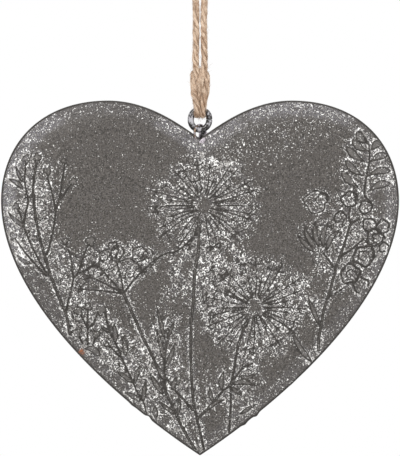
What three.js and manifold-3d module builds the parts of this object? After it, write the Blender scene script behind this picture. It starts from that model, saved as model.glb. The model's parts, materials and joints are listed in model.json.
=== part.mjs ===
// A pressed sheet-iron heart that hangs from a wire ring and a loop of jute twine.
// Millimetres, +Z up, the front faces -Y, and the origin is where the twine bears on its hook.
import * as THREE from "three";
import { mergeVertices } from "three/addons/utils/BufferGeometryUtils.js";
import Module from "manifold-3d";

const wasm = await Module();
wasm.setup();

// Heart outline: heights are measured up from the tip
const HEART_WIDTH = 150;
const HEART_HEIGHT = 133.8;
const LOBE_TOP_X = 34.6;
const WIDEST_HEIGHT = 96;
const NOTCH_HEIGHT = 119.5;
const NOTCH_SLOPE_DEG = 34.7;
const TIP_SLOPE_DEG = 33.5;
const CENTRE_HEIGHT = 82;
// Lengths of the curve handles at the notch, the lobe top, the widest point and the tip
const NOTCH_HANDLE = 8.7;
const LOBE_INNER_HANDLE = 15.4;
const LOBE_OUTER_HANDLE = 26;
const WIDEST_UPPER_HANDLE = 21;
const WIDEST_LOWER_HANDLE = 34.5;
const TIP_HANDLE = 44;

// Sheet and rim
const SHEET = 0.6;
const RIM_CLEARANCE = 0.3;
const HEM_WIDTH = 2.4;
const EDGE_ROLL = 0.45;
const FRONT_SHOULDER = 3.4;
const FRONT_SHOULDER_REACH = 11;
const FRONT_CROWN = 1.8;
const BACK_SHOULDER = 2.6;
const BACK_SHOULDER_REACH = 10;
const BACK_CROWN = 1.4;
const CROWN_REACH = 34;
const SHOULDER_ROUNDNESS = 2.2;
const FOOT_BEND = 0.4;
const RIDGE_HEIGHT = 0.55;
const RIDGE_WIDTH = 1.3;
const RIDGE_ROOT = 0.4;

// Ring, eye and twine
const RING_WIRE = 2.4;
const RING_RADIUS = 3.45;
const RING_STRAIGHT = 0.6;
const RING_GAP = 0.3;
const EYE_WIRE = 1;
const EYE_RADIUS = 3.4;
const EYE_TURN_DEG = 40;
const EYE_PLAY = 0.42;
const EYE_HOLE_CLEARANCE = 0.3;
const NOTCH_BELOW_RING = 2.14;
const TWINE = 2.2;
const TWINE_PULLED_TIGHT = 1.2;
const HANGING_DROP = 48.9;
const KNOT_WIDTH = 8;
const KNOT_HEIGHT = 7;
const KNOT_FLATNESS = 0.8;
const TAIL_LENGTH = 7;
const TOUCHING = 0.3;

// Faceting
const OUTLINE_STEPS = [5, 8, 11];
const SHOULDER_SHARES = [0.11, 0.22, 0.36, 0.6, 1];
const CROWN_SHARES = [0.3, 0.62];
const EDGE_ANGLES_DEG = [-90, -37, 0, 37, 90];
const RIDGE_STEP = 8;
const RIDGE_POINT = 0.06;
const WIRE_SIDES = 8;
const EYE_STEPS = 28;
const RING_STEPS = 36;
const TWINE_SIDES = 8;
const LEG_STEPS = 11;
const HITCH_STEPS = 44;
const TAIL_STEPS = 3;
const KNOT_SIDES = 16;

// Heights of the hanging parts, worked down from the hook
const ringTopZ = -HANGING_DROP;
const ringUpperZ = ringTopZ - RING_RADIUS;
const ringLowerZ = ringUpperZ - RING_STRAIGHT;
const ringBottomZ = ringLowerZ - RING_RADIUS;
const eyeZ = ringBottomZ + (RING_WIRE + EYE_WIRE) / 2 + EYE_PLAY - EYE_RADIUS;
const tipZ = ringBottomZ - RING_WIRE / 2 - NOTCH_BELOW_RING - NOTCH_HEIGHT;
const rimHalf = 1.5 * SHEET + RIM_CLEARANCE;

// Solids

function toSolid(geometry) {
  const bare = geometry.index ? geometry.toNonIndexed() : geometry.clone();
  bare.deleteAttribute("normal");
  bare.deleteAttribute("uv");
  const merged = mergeVertices(bare, 1e-4);
  const vertProperties = merged.attributes.position.array;
  const triVerts = new Uint32Array(merged.index.array);
  return new wasm.Manifold(new wasm.Mesh({ numProp: 3, vertProperties, triVerts }));
}

function toGeometry(solid) {
  const { vertProperties, triVerts } = solid.getMesh();
  const geometry = new THREE.BufferGeometry();
  geometry.setAttribute("position", new THREE.BufferAttribute(new Float32Array(vertProperties), 3));
  geometry.setIndex(new THREE.BufferAttribute(new Uint32Array(triVerts), 1));
  geometry.computeVertexNormals();
  return geometry;
}

// A closed body through rings of points, each ring as long as the next, capped by a point or a fan
function skin(rings) {
  const positions = [];
  const faces = [];
  const starts = [];
  for (const ring of rings) {
    starts.push(positions.length / 3);
    for (const p of ring) positions.push(p.x, p.y, p.z);
  }
  for (let k = 0; k + 1 < rings.length; k++) {
    const [a, b, m, n] = [starts[k], starts[k + 1], rings[k].length, rings[k + 1].length];
    for (let i = 0; i < Math.max(m, n); i++) {
      const j = (i + 1) % Math.max(m, n);
      if (n > 1) faces.push(a + (m > 1 ? i : 0), b + j, b + i);
      if (m > 1) faces.push(a + i, a + j, b + (n > 1 ? j : 0));
    }
  }
  const geometry = new THREE.BufferGeometry();
  geometry.setAttribute("position", new THREE.Float32BufferAttribute(positions, 3));
  geometry.setIndex(faces);
  return geometry;
}

// Wire or twine along a curve, with flat ends
function tube(curve, diameter, steps, sides) {
  const section = new THREE.Shape();
  section.absarc(0, 0, diameter / 2, 0, 2 * Math.PI);
  const options = { steps, bevelEnabled: false, extrudePath: curve, curveSegments: sides / 2 };
  return new THREE.ExtrudeGeometry(section, options);
}

// Outline: the right half from the notch over the lobe to the tip, then the left half back

function rightHalf() {
  const radians = THREE.MathUtils.degToRad;
  const half = HEART_WIDTH / 2;
  const point = (x, z) => new THREE.Vector2(x, z);
  const notch = point(0, NOTCH_HEIGHT);
  const lobe = point(LOBE_TOP_X, HEART_HEIGHT);
  const widest = point(half, WIDEST_HEIGHT);
  const along = (angle, length) => point(Math.cos(angle) * length, Math.sin(angle) * length);
  const curves = [
    new THREE.CubicBezierCurve(
      notch,
      along(radians(NOTCH_SLOPE_DEG), NOTCH_HANDLE).add(notch),
      point(LOBE_TOP_X - LOBE_INNER_HANDLE, HEART_HEIGHT),
      lobe,
    ),
    new THREE.CubicBezierCurve(
      lobe,
      point(LOBE_TOP_X + LOBE_OUTER_HANDLE, HEART_HEIGHT),
      point(half, WIDEST_HEIGHT + WIDEST_UPPER_HANDLE),
      widest,
    ),
    new THREE.CubicBezierCurve(
      widest,
      point(half, WIDEST_HEIGHT - WIDEST_LOWER_HANDLE),
      along(radians(TIP_SLOPE_DEG), TIP_HANDLE),
      point(0, 0),
    ),
  ];
  const points = [];
  curves.forEach((curve, k) => points.push(...curve.getPoints(OUTLINE_STEPS[k]).slice(k ? 1 : 0)));
  return points;
}

const edgeHalf = rightHalf();
const edge = [
  ...edgeHalf,
  ...edgeHalf
    .slice(1, -1)
    .reverse()
    .map((p) => new THREE.Vector2(-p.x, p.y)),
];
const centre = new THREE.Vector2(0, CENTRE_HEIGHT);

// For each edge point, the way to the centre that moves it inwards by 1 mm square to the edge
const inward = edge.map((p, i) => {
  const before = edge[(i + edge.length - 1) % edge.length];
  const after = edge[(i + 1) % edge.length];
  const normal = new THREE.Vector2(after.y - before.y, before.x - after.x).normalize().negate();
  const toCentre = centre.clone().sub(p).normalize();
  return toCentre.divideScalar(Math.abs(toCentre.dot(normal)));
});

function distanceToHalf(x, z) {
  let least = Infinity;
  for (let i = 0; i + 1 < edgeHalf.length; i++) {
    const [a, b] = [edgeHalf[i], edgeHalf[i + 1]];
    const [ux, uz] = [b.x - a.x, b.y - a.y];
    const along = ((x - a.x) * ux + (z - a.y) * uz) / (ux * ux + uz * uz);
    const t = Math.min(1, Math.max(0, along));
    least = Math.min(least, Math.hypot(x - a.x - t * ux, z - a.y - t * uz));
  }
  return least;
}

// Distance from the edge, blended where the two halves are equally near, so no crease forms there
function edgeDistance(x, z) {
  const near = distanceToHalf(Math.abs(x), z);
  const far = distanceToHalf(-Math.abs(x), z);
  const blend = 0.4 * (near + far);
  const mix = blend > 0 ? Math.max(0, 1 - (far - near) / blend) : 0;
  return near - (mix * mix * blend) / 4;
}

// How far the pressed sheet stands out of its rim: a rounded shoulder and a slight crown
function domeAt(distance, shoulder, reach, crown) {
  const rounded = 1 - Math.pow(1 - Math.min(1, distance / reach), SHOULDER_ROUNDNESS);
  const swell = 1 - Math.pow(1 - Math.min(1, distance / CROWN_REACH), 2);
  return shoulder * rounded + crown * swell;
}

const frontDome = (x, z) =>
  domeAt(edgeDistance(x, z), FRONT_SHOULDER, FRONT_SHOULDER_REACH, FRONT_CROWN);
const backDome = (x, z) => {
  const inset = Math.max(0, edgeDistance(x, z) - HEM_WIDTH - RIM_CLEARANCE);
  return domeAt(inset, BACK_SHOULDER, BACK_SHOULDER_REACH, BACK_CROWN);
};

// Sheet thickness measured along Y where the dome slopes
function wallAlongY(dome, x, z) {
  const step = 0.2;
  const slopeX = (dome(x + step, z) - dome(x - step, z)) / (2 * step);
  const slopeZ = (dome(x, z + step) - dome(x, z - step)) / (2 * step);
  return SHEET * Math.sqrt(1 + slopeX * slopeX + slopeZ * slopeZ);
}

// A ring of points at a distance inside the edge, or part of the way from there to the centre
function ringAt(distance, share, depth) {
  return edge.map((p, i) => {
    const at = p.clone().addScaledVector(inward[i], distance).lerp(centre, share);
    return new THREE.Vector3(at.x, depth(at.x, at.y), at.y);
  });
}

const flat = (y) => () => y;
const pole = (depth) => [new THREE.Vector3(centre.x, depth(centre.x, centre.y), centre.y)];

// Front shell: dome, rolled edge, and a hem folded in behind the flange of the back shell

function frontShell() {
  const outer = (x, z) => -rimHalf - frontDome(x, z);
  const inner = (x, z) => outer(x, z) + wallAlongY(frontDome, x, z);
  const insets = SHOULDER_SHARES.map((share) => share * FRONT_SHOULDER_REACH);
  const rolled = (degrees) => {
    const angle = THREE.MathUtils.degToRad(degrees);
    return ringAt(EDGE_ROLL * (1 - Math.cos(angle)), 0, flat(rimHalf * Math.sin(angle)));
  };
  const rings = [
    pole(outer),
    ...CROWN_SHARES.toReversed().map((share) => ringAt(FRONT_SHOULDER_REACH, share, outer)),
    ...insets.toReversed().map((inset) => ringAt(inset, 0, outer)),
    ...EDGE_ANGLES_DEG.map(rolled),
    ringAt(HEM_WIDTH, 0, flat(rimHalf)),
    ringAt(HEM_WIDTH, 0, flat(rimHalf - SHEET)),
    ringAt(SHEET, 0, flat(rimHalf - SHEET)),
    ringAt(SHEET, 0, flat(SHEET - rimHalf)),
    ...insets.slice(1).map((inset) => ringAt(inset, 0, inner)),
    ringAt(FRONT_SHOULDER_REACH, CROWN_SHARES.at(-1), inner),
    pole(inner),
  ];
  return skin(rings);
}

// Back shell: a flange held in the hem and a plain dome that rises through the hem's opening

function backShell() {
  const outer = (x, z) => SHEET / 2 + backDome(x, z);
  const inner = (x, z) => outer(x, z) - wallAlongY(backDome, x, z);
  const flangeEdge = SHEET + RIM_CLEARANCE;
  const foot = HEM_WIDTH + RIM_CLEARANCE;
  const insets = SHOULDER_SHARES.slice(1).map((share) => foot + share * BACK_SHOULDER_REACH);
  const deepest = insets.at(-1);
  const rings = [
    pole(inner),
    ringAt(deepest, CROWN_SHARES.at(-1), inner),
    ...insets.toReversed().map((inset) => ringAt(inset, 0, inner)),
    ringAt(foot + FOOT_BEND, 0, flat(-SHEET / 2)),
    ringAt(flangeEdge, 0, flat(-SHEET / 2)),
    ringAt(flangeEdge, 0, flat(SHEET / 2)),
    ringAt(foot, 0, flat(SHEET / 2)),
    ...insets.map((inset) => ringAt(inset, 0, outer)),
    ...CROWN_SHARES.map((share) => ringAt(deepest, share, outer)),
    pole(outer),
  ];
  return skin(rings);
}

// Pressed meadow plants: every ridge is a stroke along a few points, x from the middle, z from the
// tip, drawn for a heart 150 wide and 133.8 high and stretched with the real one

const at = (x, z) => new THREE.Vector2((x / 150) * HEART_WIDTH, (z / 133.8) * HEART_HEIGHT);
const along = (points) => points.map(([x, z]) => at(x, z));
const stem = (points, width = 1, steps = 0) => ({ points, width, steps, leaf: false });
const leaf = (points, width = 1.4) => ({ points, width, steps: 3, leaf: true });

// A flower head of rays round a hub, each ray forked into two florets
function umbel(x, z, reachX, reachZ, rays, hub) {
  const strokes = [];
  for (let k = 0; k < rays; k++) {
    const angle = (2 * Math.PI * (k + 0.35 * Math.sin(5 * k))) / rays;
    const reach = 0.86 + 0.14 * Math.cos(3.7 * k);
    const out = (share, turn) =>
      at(
        x + reachX * reach * share * Math.cos(angle + turn),
        z + reachZ * reach * share * Math.sin(angle + turn),
      );
    const start = at(x + hub * Math.cos(angle), z + hub * Math.sin(angle));
    strokes.push(stem([start, out(0.8, 0)], 0.75, 2));
    strokes.push(stem([out(0.76, 0), out(1, 0.06)], 0.7, 1));
    strokes.push(stem([out(0.76, 0), out(1, -0.06)], 0.7, 1));
  }
  return strokes;
}

// A fan of stalks from one point, each ending in three short florets
function spray(x, z, tips, bow) {
  const strokes = [];
  for (const [tipX, tipZ] of tips) {
    const middle = at((x + tipX) / 2 + bow * Math.sign(tipX - x), (z + tipZ) / 2 - Math.abs(bow));
    strokes.push(stem([at(x, z), middle, at(tipX, tipZ)], 0.9, 3));
    const angle = Math.atan2(tipZ - z, tipX - x);
    for (const turn of [-0.8, 0, 0.8]) {
      const end = at(tipX + 3 * Math.cos(angle + turn), tipZ + 3 * Math.sin(angle + turn));
      strokes.push(stem([at(tipX, tipZ), end], 0.7, 1));
    }
  }
  return strokes;
}

// A curled petal line: a ring that waves in and out
function curl(x, z, radius, petals) {
  const ring = [];
  for (let k = 0; k <= petals; k++) {
    const angle = (2 * Math.PI * k) / petals;
    const swell = k % 2 ? 0.8 : 1;
    ring.push(at(x + radius * swell * Math.cos(angle), z + radius * swell * Math.sin(angle)));
  }
  return stem(ring, 1, petals);
}

// A round bloom: a ring of petals and a bud in the middle
function bloom(x, z, radius) {
  const bud = 0.3 * radius;
  return [curl(x, z, radius, 8), leaf([at(x - bud, z - bud), at(x + bud, z + bud)], 0.5 * radius)];
}

// A tall stalk with a closed bud at its top
const budded = (points) => {
  const [last, before] = [points.at(-1), points.at(-2)];
  const tip = last.clone().sub(before).setLength(3).add(last);
  return [stem(points, 0.9), leaf([last, tip], 1.9)];
};

// Bare stalks, each with its width
const stalks = [
  [1, [-50.2, 53], [-49.7, 57.1], [-47.4, 66.9]],
  [1, [-45, 68.9], [-39.8, 72.4]],
  [0.9, [-28.6, 61.2], [-22.8, 68.5], [-13.6, 75.9], [-8.1, 77.4], [-2, 83]],
  [1.1, [-28.3, 61.4], [-24.5, 52], [-17.9, 37.9], [-12.2, 28.8], [-6, 21.3], [-2.8, 17.5]],
  [1, [-35.4, 53.9], [-33.2, 45.5], [-29.2, 36.9], [-25.4, 28.5], [-21.2, 20.2], [-20, 15.5]],
  [1, [-1.9, 2.5], [-7.5, 12.4], [-11.3, 20.9], [-13.3, 29.4], [-13.2, 37.9], [-11.4, 48.4]],
  [1.2, [-0.5, 91], [-1.9, 69.9], [-3.3, 49.2], [-3.5, 36], [-2.4, 20.5], [0.3, 8.1], [1.5, 2.5]],
  [1, [16.6, 49], [13.5, 37.1], [11.6, 26.2], [11.5, 18.3], [10.9, 8.5]],
  [1, [-0.8, 14.5], [5.9, 21.7], [11.3, 26.9], [16.2, 33.4], [19.6, 34.9]],
  [0.8, [34.2, 47.5], [30.2, 50.3], [25, 53]],
  [1.2, [44.5, 39.8], [45.5, 49.6], [49.5, 65], [53.3, 77.4], [56.5, 87.2], [59.8, 89.3]],
  [1, [47.9, 59.7], [53.9, 63.3]],
  [1, [52.8, 75.3], [57.1, 78], [61.4, 81.7]],
  [1, [50.1, 71], [47.5, 74.8], [45.2, 77.4]],
  [1, [56.5, 87.2], [55.8, 91], [56.6, 94]],
  [1, [60.8, 96.4], [61.8, 99.7], [62.7, 107.2], [63.8, 117.5]],
];

// Stalks that end in a closed bud
const buddedStalks = [
  [[-48.8, 45.8], [-52.4, 58.6], [-56.5, 69.5], [-60.8, 85.5], [-62.4, 99], [-61.2, 110]],
  [[-57.7, 69.2], [-64.1, 81.2], [-66, 87], [-64.5, 95.5], [-65.7, 103.5], [-65.3, 109.5]],
  [[-57.7, 67.8], [-64.6, 75.3], [-68.8, 80.8]],
  [[-54.1, 91.5], [-55.2, 97.9], [-56.9, 105.5]],
  [[-57.3, 75.9], [-54.9, 85.5], [-52.5, 97.4], [-50.9, 109]],
  [[-52.6, 96], [-49.5, 100.6], [-48.3, 102]],
  [[-47.4, 66.9], [-48.5, 74.8], [-50, 79]],
  [[-47.4, 66.9], [-45.5, 69.4], [-41.9, 78.8]],
  [[-66, 87.5], [-67.5, 91], [-68.4, 92.8]],
  [[-42.2, 42], [-42.2, 48.8], [-42, 54.5]],
  [[-42.2, 48.4], [-44.7, 52.8]],
  [[-42.2, 48], [-38.2, 53.4]],
  [[-44.1, 42.4], [-45.4, 45]],
  [[-40, 42.1], [-39.2, 44.6]],
  [[-30.2, 37.5], [-33.6, 41]],
];

// Leaves, each with its width
const leaves = [
  [1.5, [-66.2, 100.6], [-69, 102.8], [-71.9, 104.3]],
  [1.4, [-66.4, 103], [-68, 105.8], [-69.2, 108.9]],
  [1.5, [-65.6, 86], [-69.5, 88.8], [-72.1, 91.6]],
  [1.4, [-63.4, 72.3], [-66.4, 73.4], [-69, 75.7]],
  [2, [-37.6, 37.8], [-40.3, 40.3], [-43.2, 40.4]],
  [1.6, [-31.6, 43], [-31.8, 46.5], [-32.2, 50]],
  [1.3, [-33.6, 46.7], [-35.4, 47.6], [-37.4, 49.5]],
  [1.6, [-27.9, 37.6], [-28.1, 41.5], [-28.8, 45.2]],
  [1.6, [-24.4, 27.8], [-23.7, 31], [-22.3, 34.2]],
  [1.6, [-25.2, 27.6], [-28.2, 30], [-31.4, 32]],
  [1.6, [-22.4, 20.8], [-24.8, 22.4], [-28, 24]],
  [1.6, [-21.3, 20.5], [-21, 24.5], [-20.2, 28.3]],
  [1.5, [-13.4, 36], [-14.8, 42.4], [-16.3, 47.8]],
  [1.4, [-13.2, 44], [-14.7, 50.3], [-16.1, 56]],
  [1.5, [-12.9, 33.5], [-11.1, 37.5], [-9.2, 42.6]],
  [1.6, [-13.9, 23.4], [-16.6, 27.3], [-18.8, 31.4]],
  [1.6, [-13.3, 29], [-14.8, 31.6], [-16.6, 34.6]],
  [1.4, [-9, 15.8], [-12.1, 17.9], [-15.6, 20.8]],
  [1.8, [-16.5, 14.6], [-16.8, 16.6], [-16.9, 19]],
  [1.3, [-8.5, 15.6], [-7.8, 19], [-7.8, 22.4]],
  [1.5, [-10.4, 25], [-9.8, 27.4], [-8.8, 30]],
  [1.4, [2.8, 17.6], [6, 20.3], [9.2, 21.4]],
  [1.5, [4.8, 20.6], [4, 23], [3.6, 26]],
  [1.6, [8.2, 25], [7.9, 28.4], [8.8, 31.8]],
  [1.6, [12.2, 27.4], [16, 28], [20.6, 26.8]],
  [1.4, [11.8, 26.4], [13.4, 24.6], [15.8, 23.4]],
  [1.4, [14.4, 30.2], [18, 29.6], [21.8, 31.8]],
  [1.4, [15.2, 15.8], [18, 17.8], [21.2, 19.6]],
  [1.8, [42, 35.4], [37.6, 40.8], [34.2, 47.5]],
  [1.5, [44.6, 49.4], [43, 53.6], [40.6, 59.6]],
  [1.9, [59.8, 101.2], [56.8, 102.8], [53.3, 105.5]],
  [1.9, [60.8, 106.1], [58.1, 108], [54.9, 111]],
  [1.9, [61.7, 111], [58.3, 112.8], [54.4, 115.7]],
  [1.9, [62.2, 115.1], [60.1, 116.5], [57.6, 118.9]],
  [1.9, [62.9, 118.5], [61.6, 120.1], [59.8, 122.7]],
  [1.9, [63.5, 100.1], [67.8, 101.8], [71.4, 102.1]],
  [1.9, [63.8, 105], [67.7, 106.3], [71, 106.1]],
  [1.9, [64.3, 110.2], [67.2, 111.5], [69.5, 111.4]],
  [1.7, [64.4, 115.1], [66.4, 116.7], [67.8, 116.8]],
];

// Curled petal lines: middle and radius
const curls = [
  [-29.6, 77, 2.4],
  [-26.7, 70.2, 2.9],
  [-35.8, 75.4, 2],
  [-24, 76.6, 2.2],
  [48.5, 85.5, 2.3],
  [43, 77.4, 2.1],
  [41.2, 84.6, 3.6],
  [60.4, 64.4, 2.9],
];

// Blooms along the right-hand stem: middle and radius
const blooms = [
  [57.1, 96.8, 3.1],
  [62.2, 94, 2.6],
  [69.3, 86.5, 2.2],
  [66.2, 82.3, 3],
  [61.8, 74.8, 3.2],
  [56.5, 68.4, 3.7],
  [44.2, 95.2, 4.2],
];

function meadow() {
  return [
    ...umbel(1.5, 94.3, 22.6, 18.4, 17, 2.6),
    ...umbel(21.1, 56, 20.2, 19.6, 15, 2.6),
    ...spray(-28.6, 61.2, [[-42.5, 68], [-45, 63], [-39, 73], [-31.5, 73.5], [-21.5, 70]], 0.6),
    ...stalks.map(([width, ...points]) => stem(along(points), width)),
    ...buddedStalks.flatMap((points) => budded(along(points))),
    ...leaves.map(([width, ...points]) => leaf(along(points), width)),
    ...curls.map(([x, z, radius]) => curl(x, z, radius, 6)),
    ...blooms.flatMap(([x, z, radius]) => bloom(x, z, radius)),
  ];
}

// A ridge with a sharp back and pointed ends that follows the dome and is rooted inside the sheet
function ridge({ points, width, steps, leaf: swelling }) {
  const curve = points.length > 2 ? new THREE.SplineCurve(points) : new THREE.LineCurve(...points);
  const count = steps || Math.max(2, Math.ceil(curve.getLength() / RIDGE_STEP));
  const corner = (share, offset, lift) => {
    const p = curve.getPointAt(share);
    const way = curve.getTangentAt(share);
    const [x, z] = [p.x - way.y * offset, p.y + way.x * offset];
    return new THREE.Vector3(x, -rimHalf - frontDome(x, z) - lift, z);
  };
  const section = (share) => {
    const fullness = swelling ? Math.sin(Math.PI * share) : 1 - 0.3 * share;
    const half = (fullness * width * RIDGE_WIDTH) / 2;
    const proud = RIDGE_HEIGHT * (swelling ? 0.4 + 0.6 * fullness : 1);
    return [
      corner(share, half, -RIDGE_ROOT),
      corner(share, 0, proud),
      corner(share, -half, -RIDGE_ROOT),
    ];
  };
  const shares = [];
  for (let k = 0; k <= count; k++) shares.push(RIDGE_POINT + ((1 - 2 * RIDGE_POINT) * k) / count);
  const between = swelling ? shares.slice(1, -1) : shares;
  const rings = (count > 1 ? between : [0.6]).map(section);
  return skin([[corner(0, 0, -RIDGE_ROOT)], ...rings, [corner(1, 0, -RIDGE_ROOT)]]);
}

// Ring: round wire bent to two half circles joined by short straights, its ends butted at one side
class RingCurve extends THREE.Curve {
  constructor() {
    super();
    this.radius = RING_RADIUS;
    this.arc = Math.PI * this.radius;
    this.total = 2 * this.arc + 2 * RING_STRAIGHT - RING_GAP;
  }

  getPoint(share, target = new THREE.Vector3()) {
    const half = RING_STRAIGHT / 2;
    const middleZ = (ringUpperZ + ringLowerZ) / 2;
    let s = share * this.total + RING_GAP / 2;
    if (s < half) return target.set(this.radius, 0, middleZ + s);
    s -= half;
    if (s < this.arc) return this.onArc(target, ringUpperZ, s / this.radius);
    s -= this.arc;
    if (s < RING_STRAIGHT) return target.set(-this.radius, 0, ringUpperZ - s);
    s -= RING_STRAIGHT;
    if (s < this.arc) return this.onArc(target, ringLowerZ, Math.PI + s / this.radius);
    return target.set(this.radius, 0, ringLowerZ + s - this.arc);
  }

  onArc(target, z, angle) {
    return target.set(this.radius * Math.cos(angle), 0, z + this.radius * Math.sin(angle));
  }
}

// Eye: a closed loop of thinner wire, turned out of the ring's plane, through both shells
function eyeLoop(wire) {
  const loop = new THREE.TorusGeometry(EYE_RADIUS, wire / 2, WIRE_SIDES, EYE_STEPS);
  loop.rotateY(Math.PI / 2);
  loop.rotateZ(-THREE.MathUtils.degToRad(EYE_TURN_DEG));
  loop.translate(0, 0, eyeZ);
  return loop;
}

// Twine: the strands' route on the left, from the knot down, in millimetres from the ring's top wire

const legRoute = [
  [-1.3, 0, 52],
  [-1.3, 0, 51.5],
  [-2, 0, 50.2],
  [-2.75, 0, 48.3],
  [-2.25, 0, 45],
  [-1.65, 0, 41.5],
  [-1.45, -0.05, 36],
  [-1.45, -0.1, 30],
  [-1.55, -0.25, 24],
  [-1.65, -0.45, 19],
  [-1.55, -0.5, 15.4],
];
const hitchRoute = [
  [-1.5, -0.5, 15.1],
  [-0.98, -0.2, 12.2],
  [-0.9, 0.7, 9.2],
  [-0.9, 1.6, 5.6],
  [-0.95, 2.35, 2.5],
  [-0.95, 2.5, 0],
  [-0.95, 1.77, -1.77],
  [-0.95, 0, -2.5],
  [-0.95, -1.77, -1.77],
  [-1.05, -2.5, 0],
  [-1.4, -2.4, 2.8],
  [-1.95, -1.9, 5.5],
  [-2.35, -1.1, 8.6],
  [-2.6, 0.2, 11.6],
  [-2.3, 1.6, 13.6],
  [-1.2, 2.3, 14.3],
  [0, 2.45, 14.5],
];
const onRoute = ([x, y, z], side) => new THREE.Vector3(-side * x, y, z + ringTopZ);

const twineLeg = (side) => {
  const curve = new THREE.CatmullRomCurve3(legRoute.map((p) => onRoute(p, side)));
  return tube(curve, TWINE, LEG_STEPS, TWINE_SIDES);
};

const twineHitch = () => {
  const left = hitchRoute.map((p) => onRoute(p, -1));
  const right = hitchRoute
    .slice(0, -1)
    .reverse()
    .map((p) => onRoute(p, 1));
  const curve = new THREE.CatmullRomCurve3([...left, ...right]);
  return tube(curve, TWINE_PULLED_TIGHT, HITCH_STEPS, TWINE_SIDES);
};

// Knot: both ends of the twine tied together over the hook, with two cut tails
function twineKnot() {
  const bottom = legRoute[0][2] + ringTopZ + TOUCHING;
  const half = KNOT_HEIGHT / 2;
  const waist = 0.3 * KNOT_WIDTH;
  const profile = [
    [0, -half],
    [waist, -half],
    [0.44 * KNOT_WIDTH, -0.55 * half],
    [0.5 * KNOT_WIDTH, 0],
    [0.44 * KNOT_WIDTH, 0.55 * half],
    [waist, half],
    [0, half],
  ].map(([r, z]) => new THREE.Vector2(r, z));
  const body = new THREE.LatheGeometry(profile, KNOT_SIDES);
  body.rotateX(Math.PI / 2);
  body.scale(1, KNOT_FLATNESS, 1);
  body.translate(0, 0, bottom + half);
  let knot = toSolid(body);
  for (const side of [-1, 1]) {
    const tail = new THREE.CatmullRomCurve3([
      new THREE.Vector3(side * 1.25, 0, bottom + half),
      new THREE.Vector3(side * 1.4, -0.2, bottom + KNOT_HEIGHT + 1),
      new THREE.Vector3(side * 2.6, -0.6, bottom + KNOT_HEIGHT + TAIL_LENGTH),
    ]);
    knot = knot.add(toSolid(tube(tail, TWINE, TAIL_STEPS, TWINE_SIDES)));
  }
  return toGeometry(knot);
}

// Assembly

const finish = (color, metalness, roughness) =>
  new THREE.MeshStandardMaterial({ color, metalness, roughness });

function piece(name, geometry, material) {
  const mesh = new THREE.Mesh(geometry, material);
  mesh.name = name;
  return mesh;
}

const heart = new THREE.Group();
heart.position.z = tipZ;
const eyeHole = toSolid(eyeLoop(EYE_WIRE + 2 * EYE_HOLE_CLEARANCE)).translate([0, 0, -tipZ]);
let pressed = toSolid(frontShell());
for (const stroke of meadow()) pressed = pressed.add(toSolid(ridge(stroke)));
const front = toGeometry(pressed.subtract(eyeHole));
const back = toGeometry(toSolid(backShell()).subtract(eyeHole));
heart.add(piece("front_shell", front, finish(0x5c5752, 0.6, 0.6)));
heart.add(piece("back_shell", back, finish(0x5a5550, 0.6, 0.6)));

const part = new THREE.Group();
part.add(heart);
part.add(piece("hanging_eye", eyeLoop(EYE_WIRE), finish(0x8a7a62, 0.8, 0.4)));
const ringCurve = new RingCurve();
const ring = tube(ringCurve, RING_WIRE, RING_STEPS, WIRE_SIDES);
part.add(piece("hanging_ring", ring, finish(0x6a6864, 0.9, 0.4)));
part.add(piece("twine_leg_left", twineLeg(-1), finish(0xc8aa8c, 0, 0.9)));
part.add(piece("twine_leg_right", twineLeg(1), finish(0xc8aa8c, 0, 0.9)));
part.add(piece("twine_hitch", twineHitch(), finish(0xc3a485, 0, 0.9)));
part.add(piece("twine_knot", twineKnot(), finish(0xc8aa8c, 0, 0.9)));

export default part;
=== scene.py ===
"""The looks of a pressed metal heart that hangs from a wire ring and a loop of jute twine.

Lengths in the classes are millimetres, as the heart's maker would give them. Meshes are metres.
"""

import json
import logging
import math
from contextlib import contextmanager
from dataclasses import dataclass, field
from enum import Enum
from typing import Callable, Iterator

import bmesh
import bpy
import numpy as np
from mathutils import Matrix, Vector


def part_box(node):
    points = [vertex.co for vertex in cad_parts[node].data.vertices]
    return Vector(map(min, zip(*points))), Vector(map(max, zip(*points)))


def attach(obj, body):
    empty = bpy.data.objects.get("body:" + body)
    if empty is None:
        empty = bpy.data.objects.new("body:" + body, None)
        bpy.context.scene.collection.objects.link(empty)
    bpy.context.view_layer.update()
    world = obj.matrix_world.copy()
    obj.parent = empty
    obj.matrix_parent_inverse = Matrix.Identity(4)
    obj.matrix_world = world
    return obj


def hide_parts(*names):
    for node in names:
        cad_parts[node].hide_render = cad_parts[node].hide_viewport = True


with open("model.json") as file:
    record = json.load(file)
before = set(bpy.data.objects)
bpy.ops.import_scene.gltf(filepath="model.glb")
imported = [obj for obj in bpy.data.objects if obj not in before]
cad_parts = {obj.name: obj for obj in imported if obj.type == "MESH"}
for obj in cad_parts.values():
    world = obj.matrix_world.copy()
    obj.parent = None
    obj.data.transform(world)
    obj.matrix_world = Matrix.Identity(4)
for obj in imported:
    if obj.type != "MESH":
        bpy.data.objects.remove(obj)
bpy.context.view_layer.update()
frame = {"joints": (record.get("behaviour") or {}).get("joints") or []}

LOG = logging.getLogger("hanging_heart")
MM = 0.001
TURN = 2 * math.pi
ACROSS = np.array([1.0, 0.0, 0.0])

Array = np.ndarray
Piece = bpy.types.Object
Material = bpy.types.Material
Node = bpy.types.Node
Socket = bpy.types.NodeSocket
Colour = tuple[float, float, float, float]
Rows = tuple[tuple[float, ...], ...]

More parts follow.
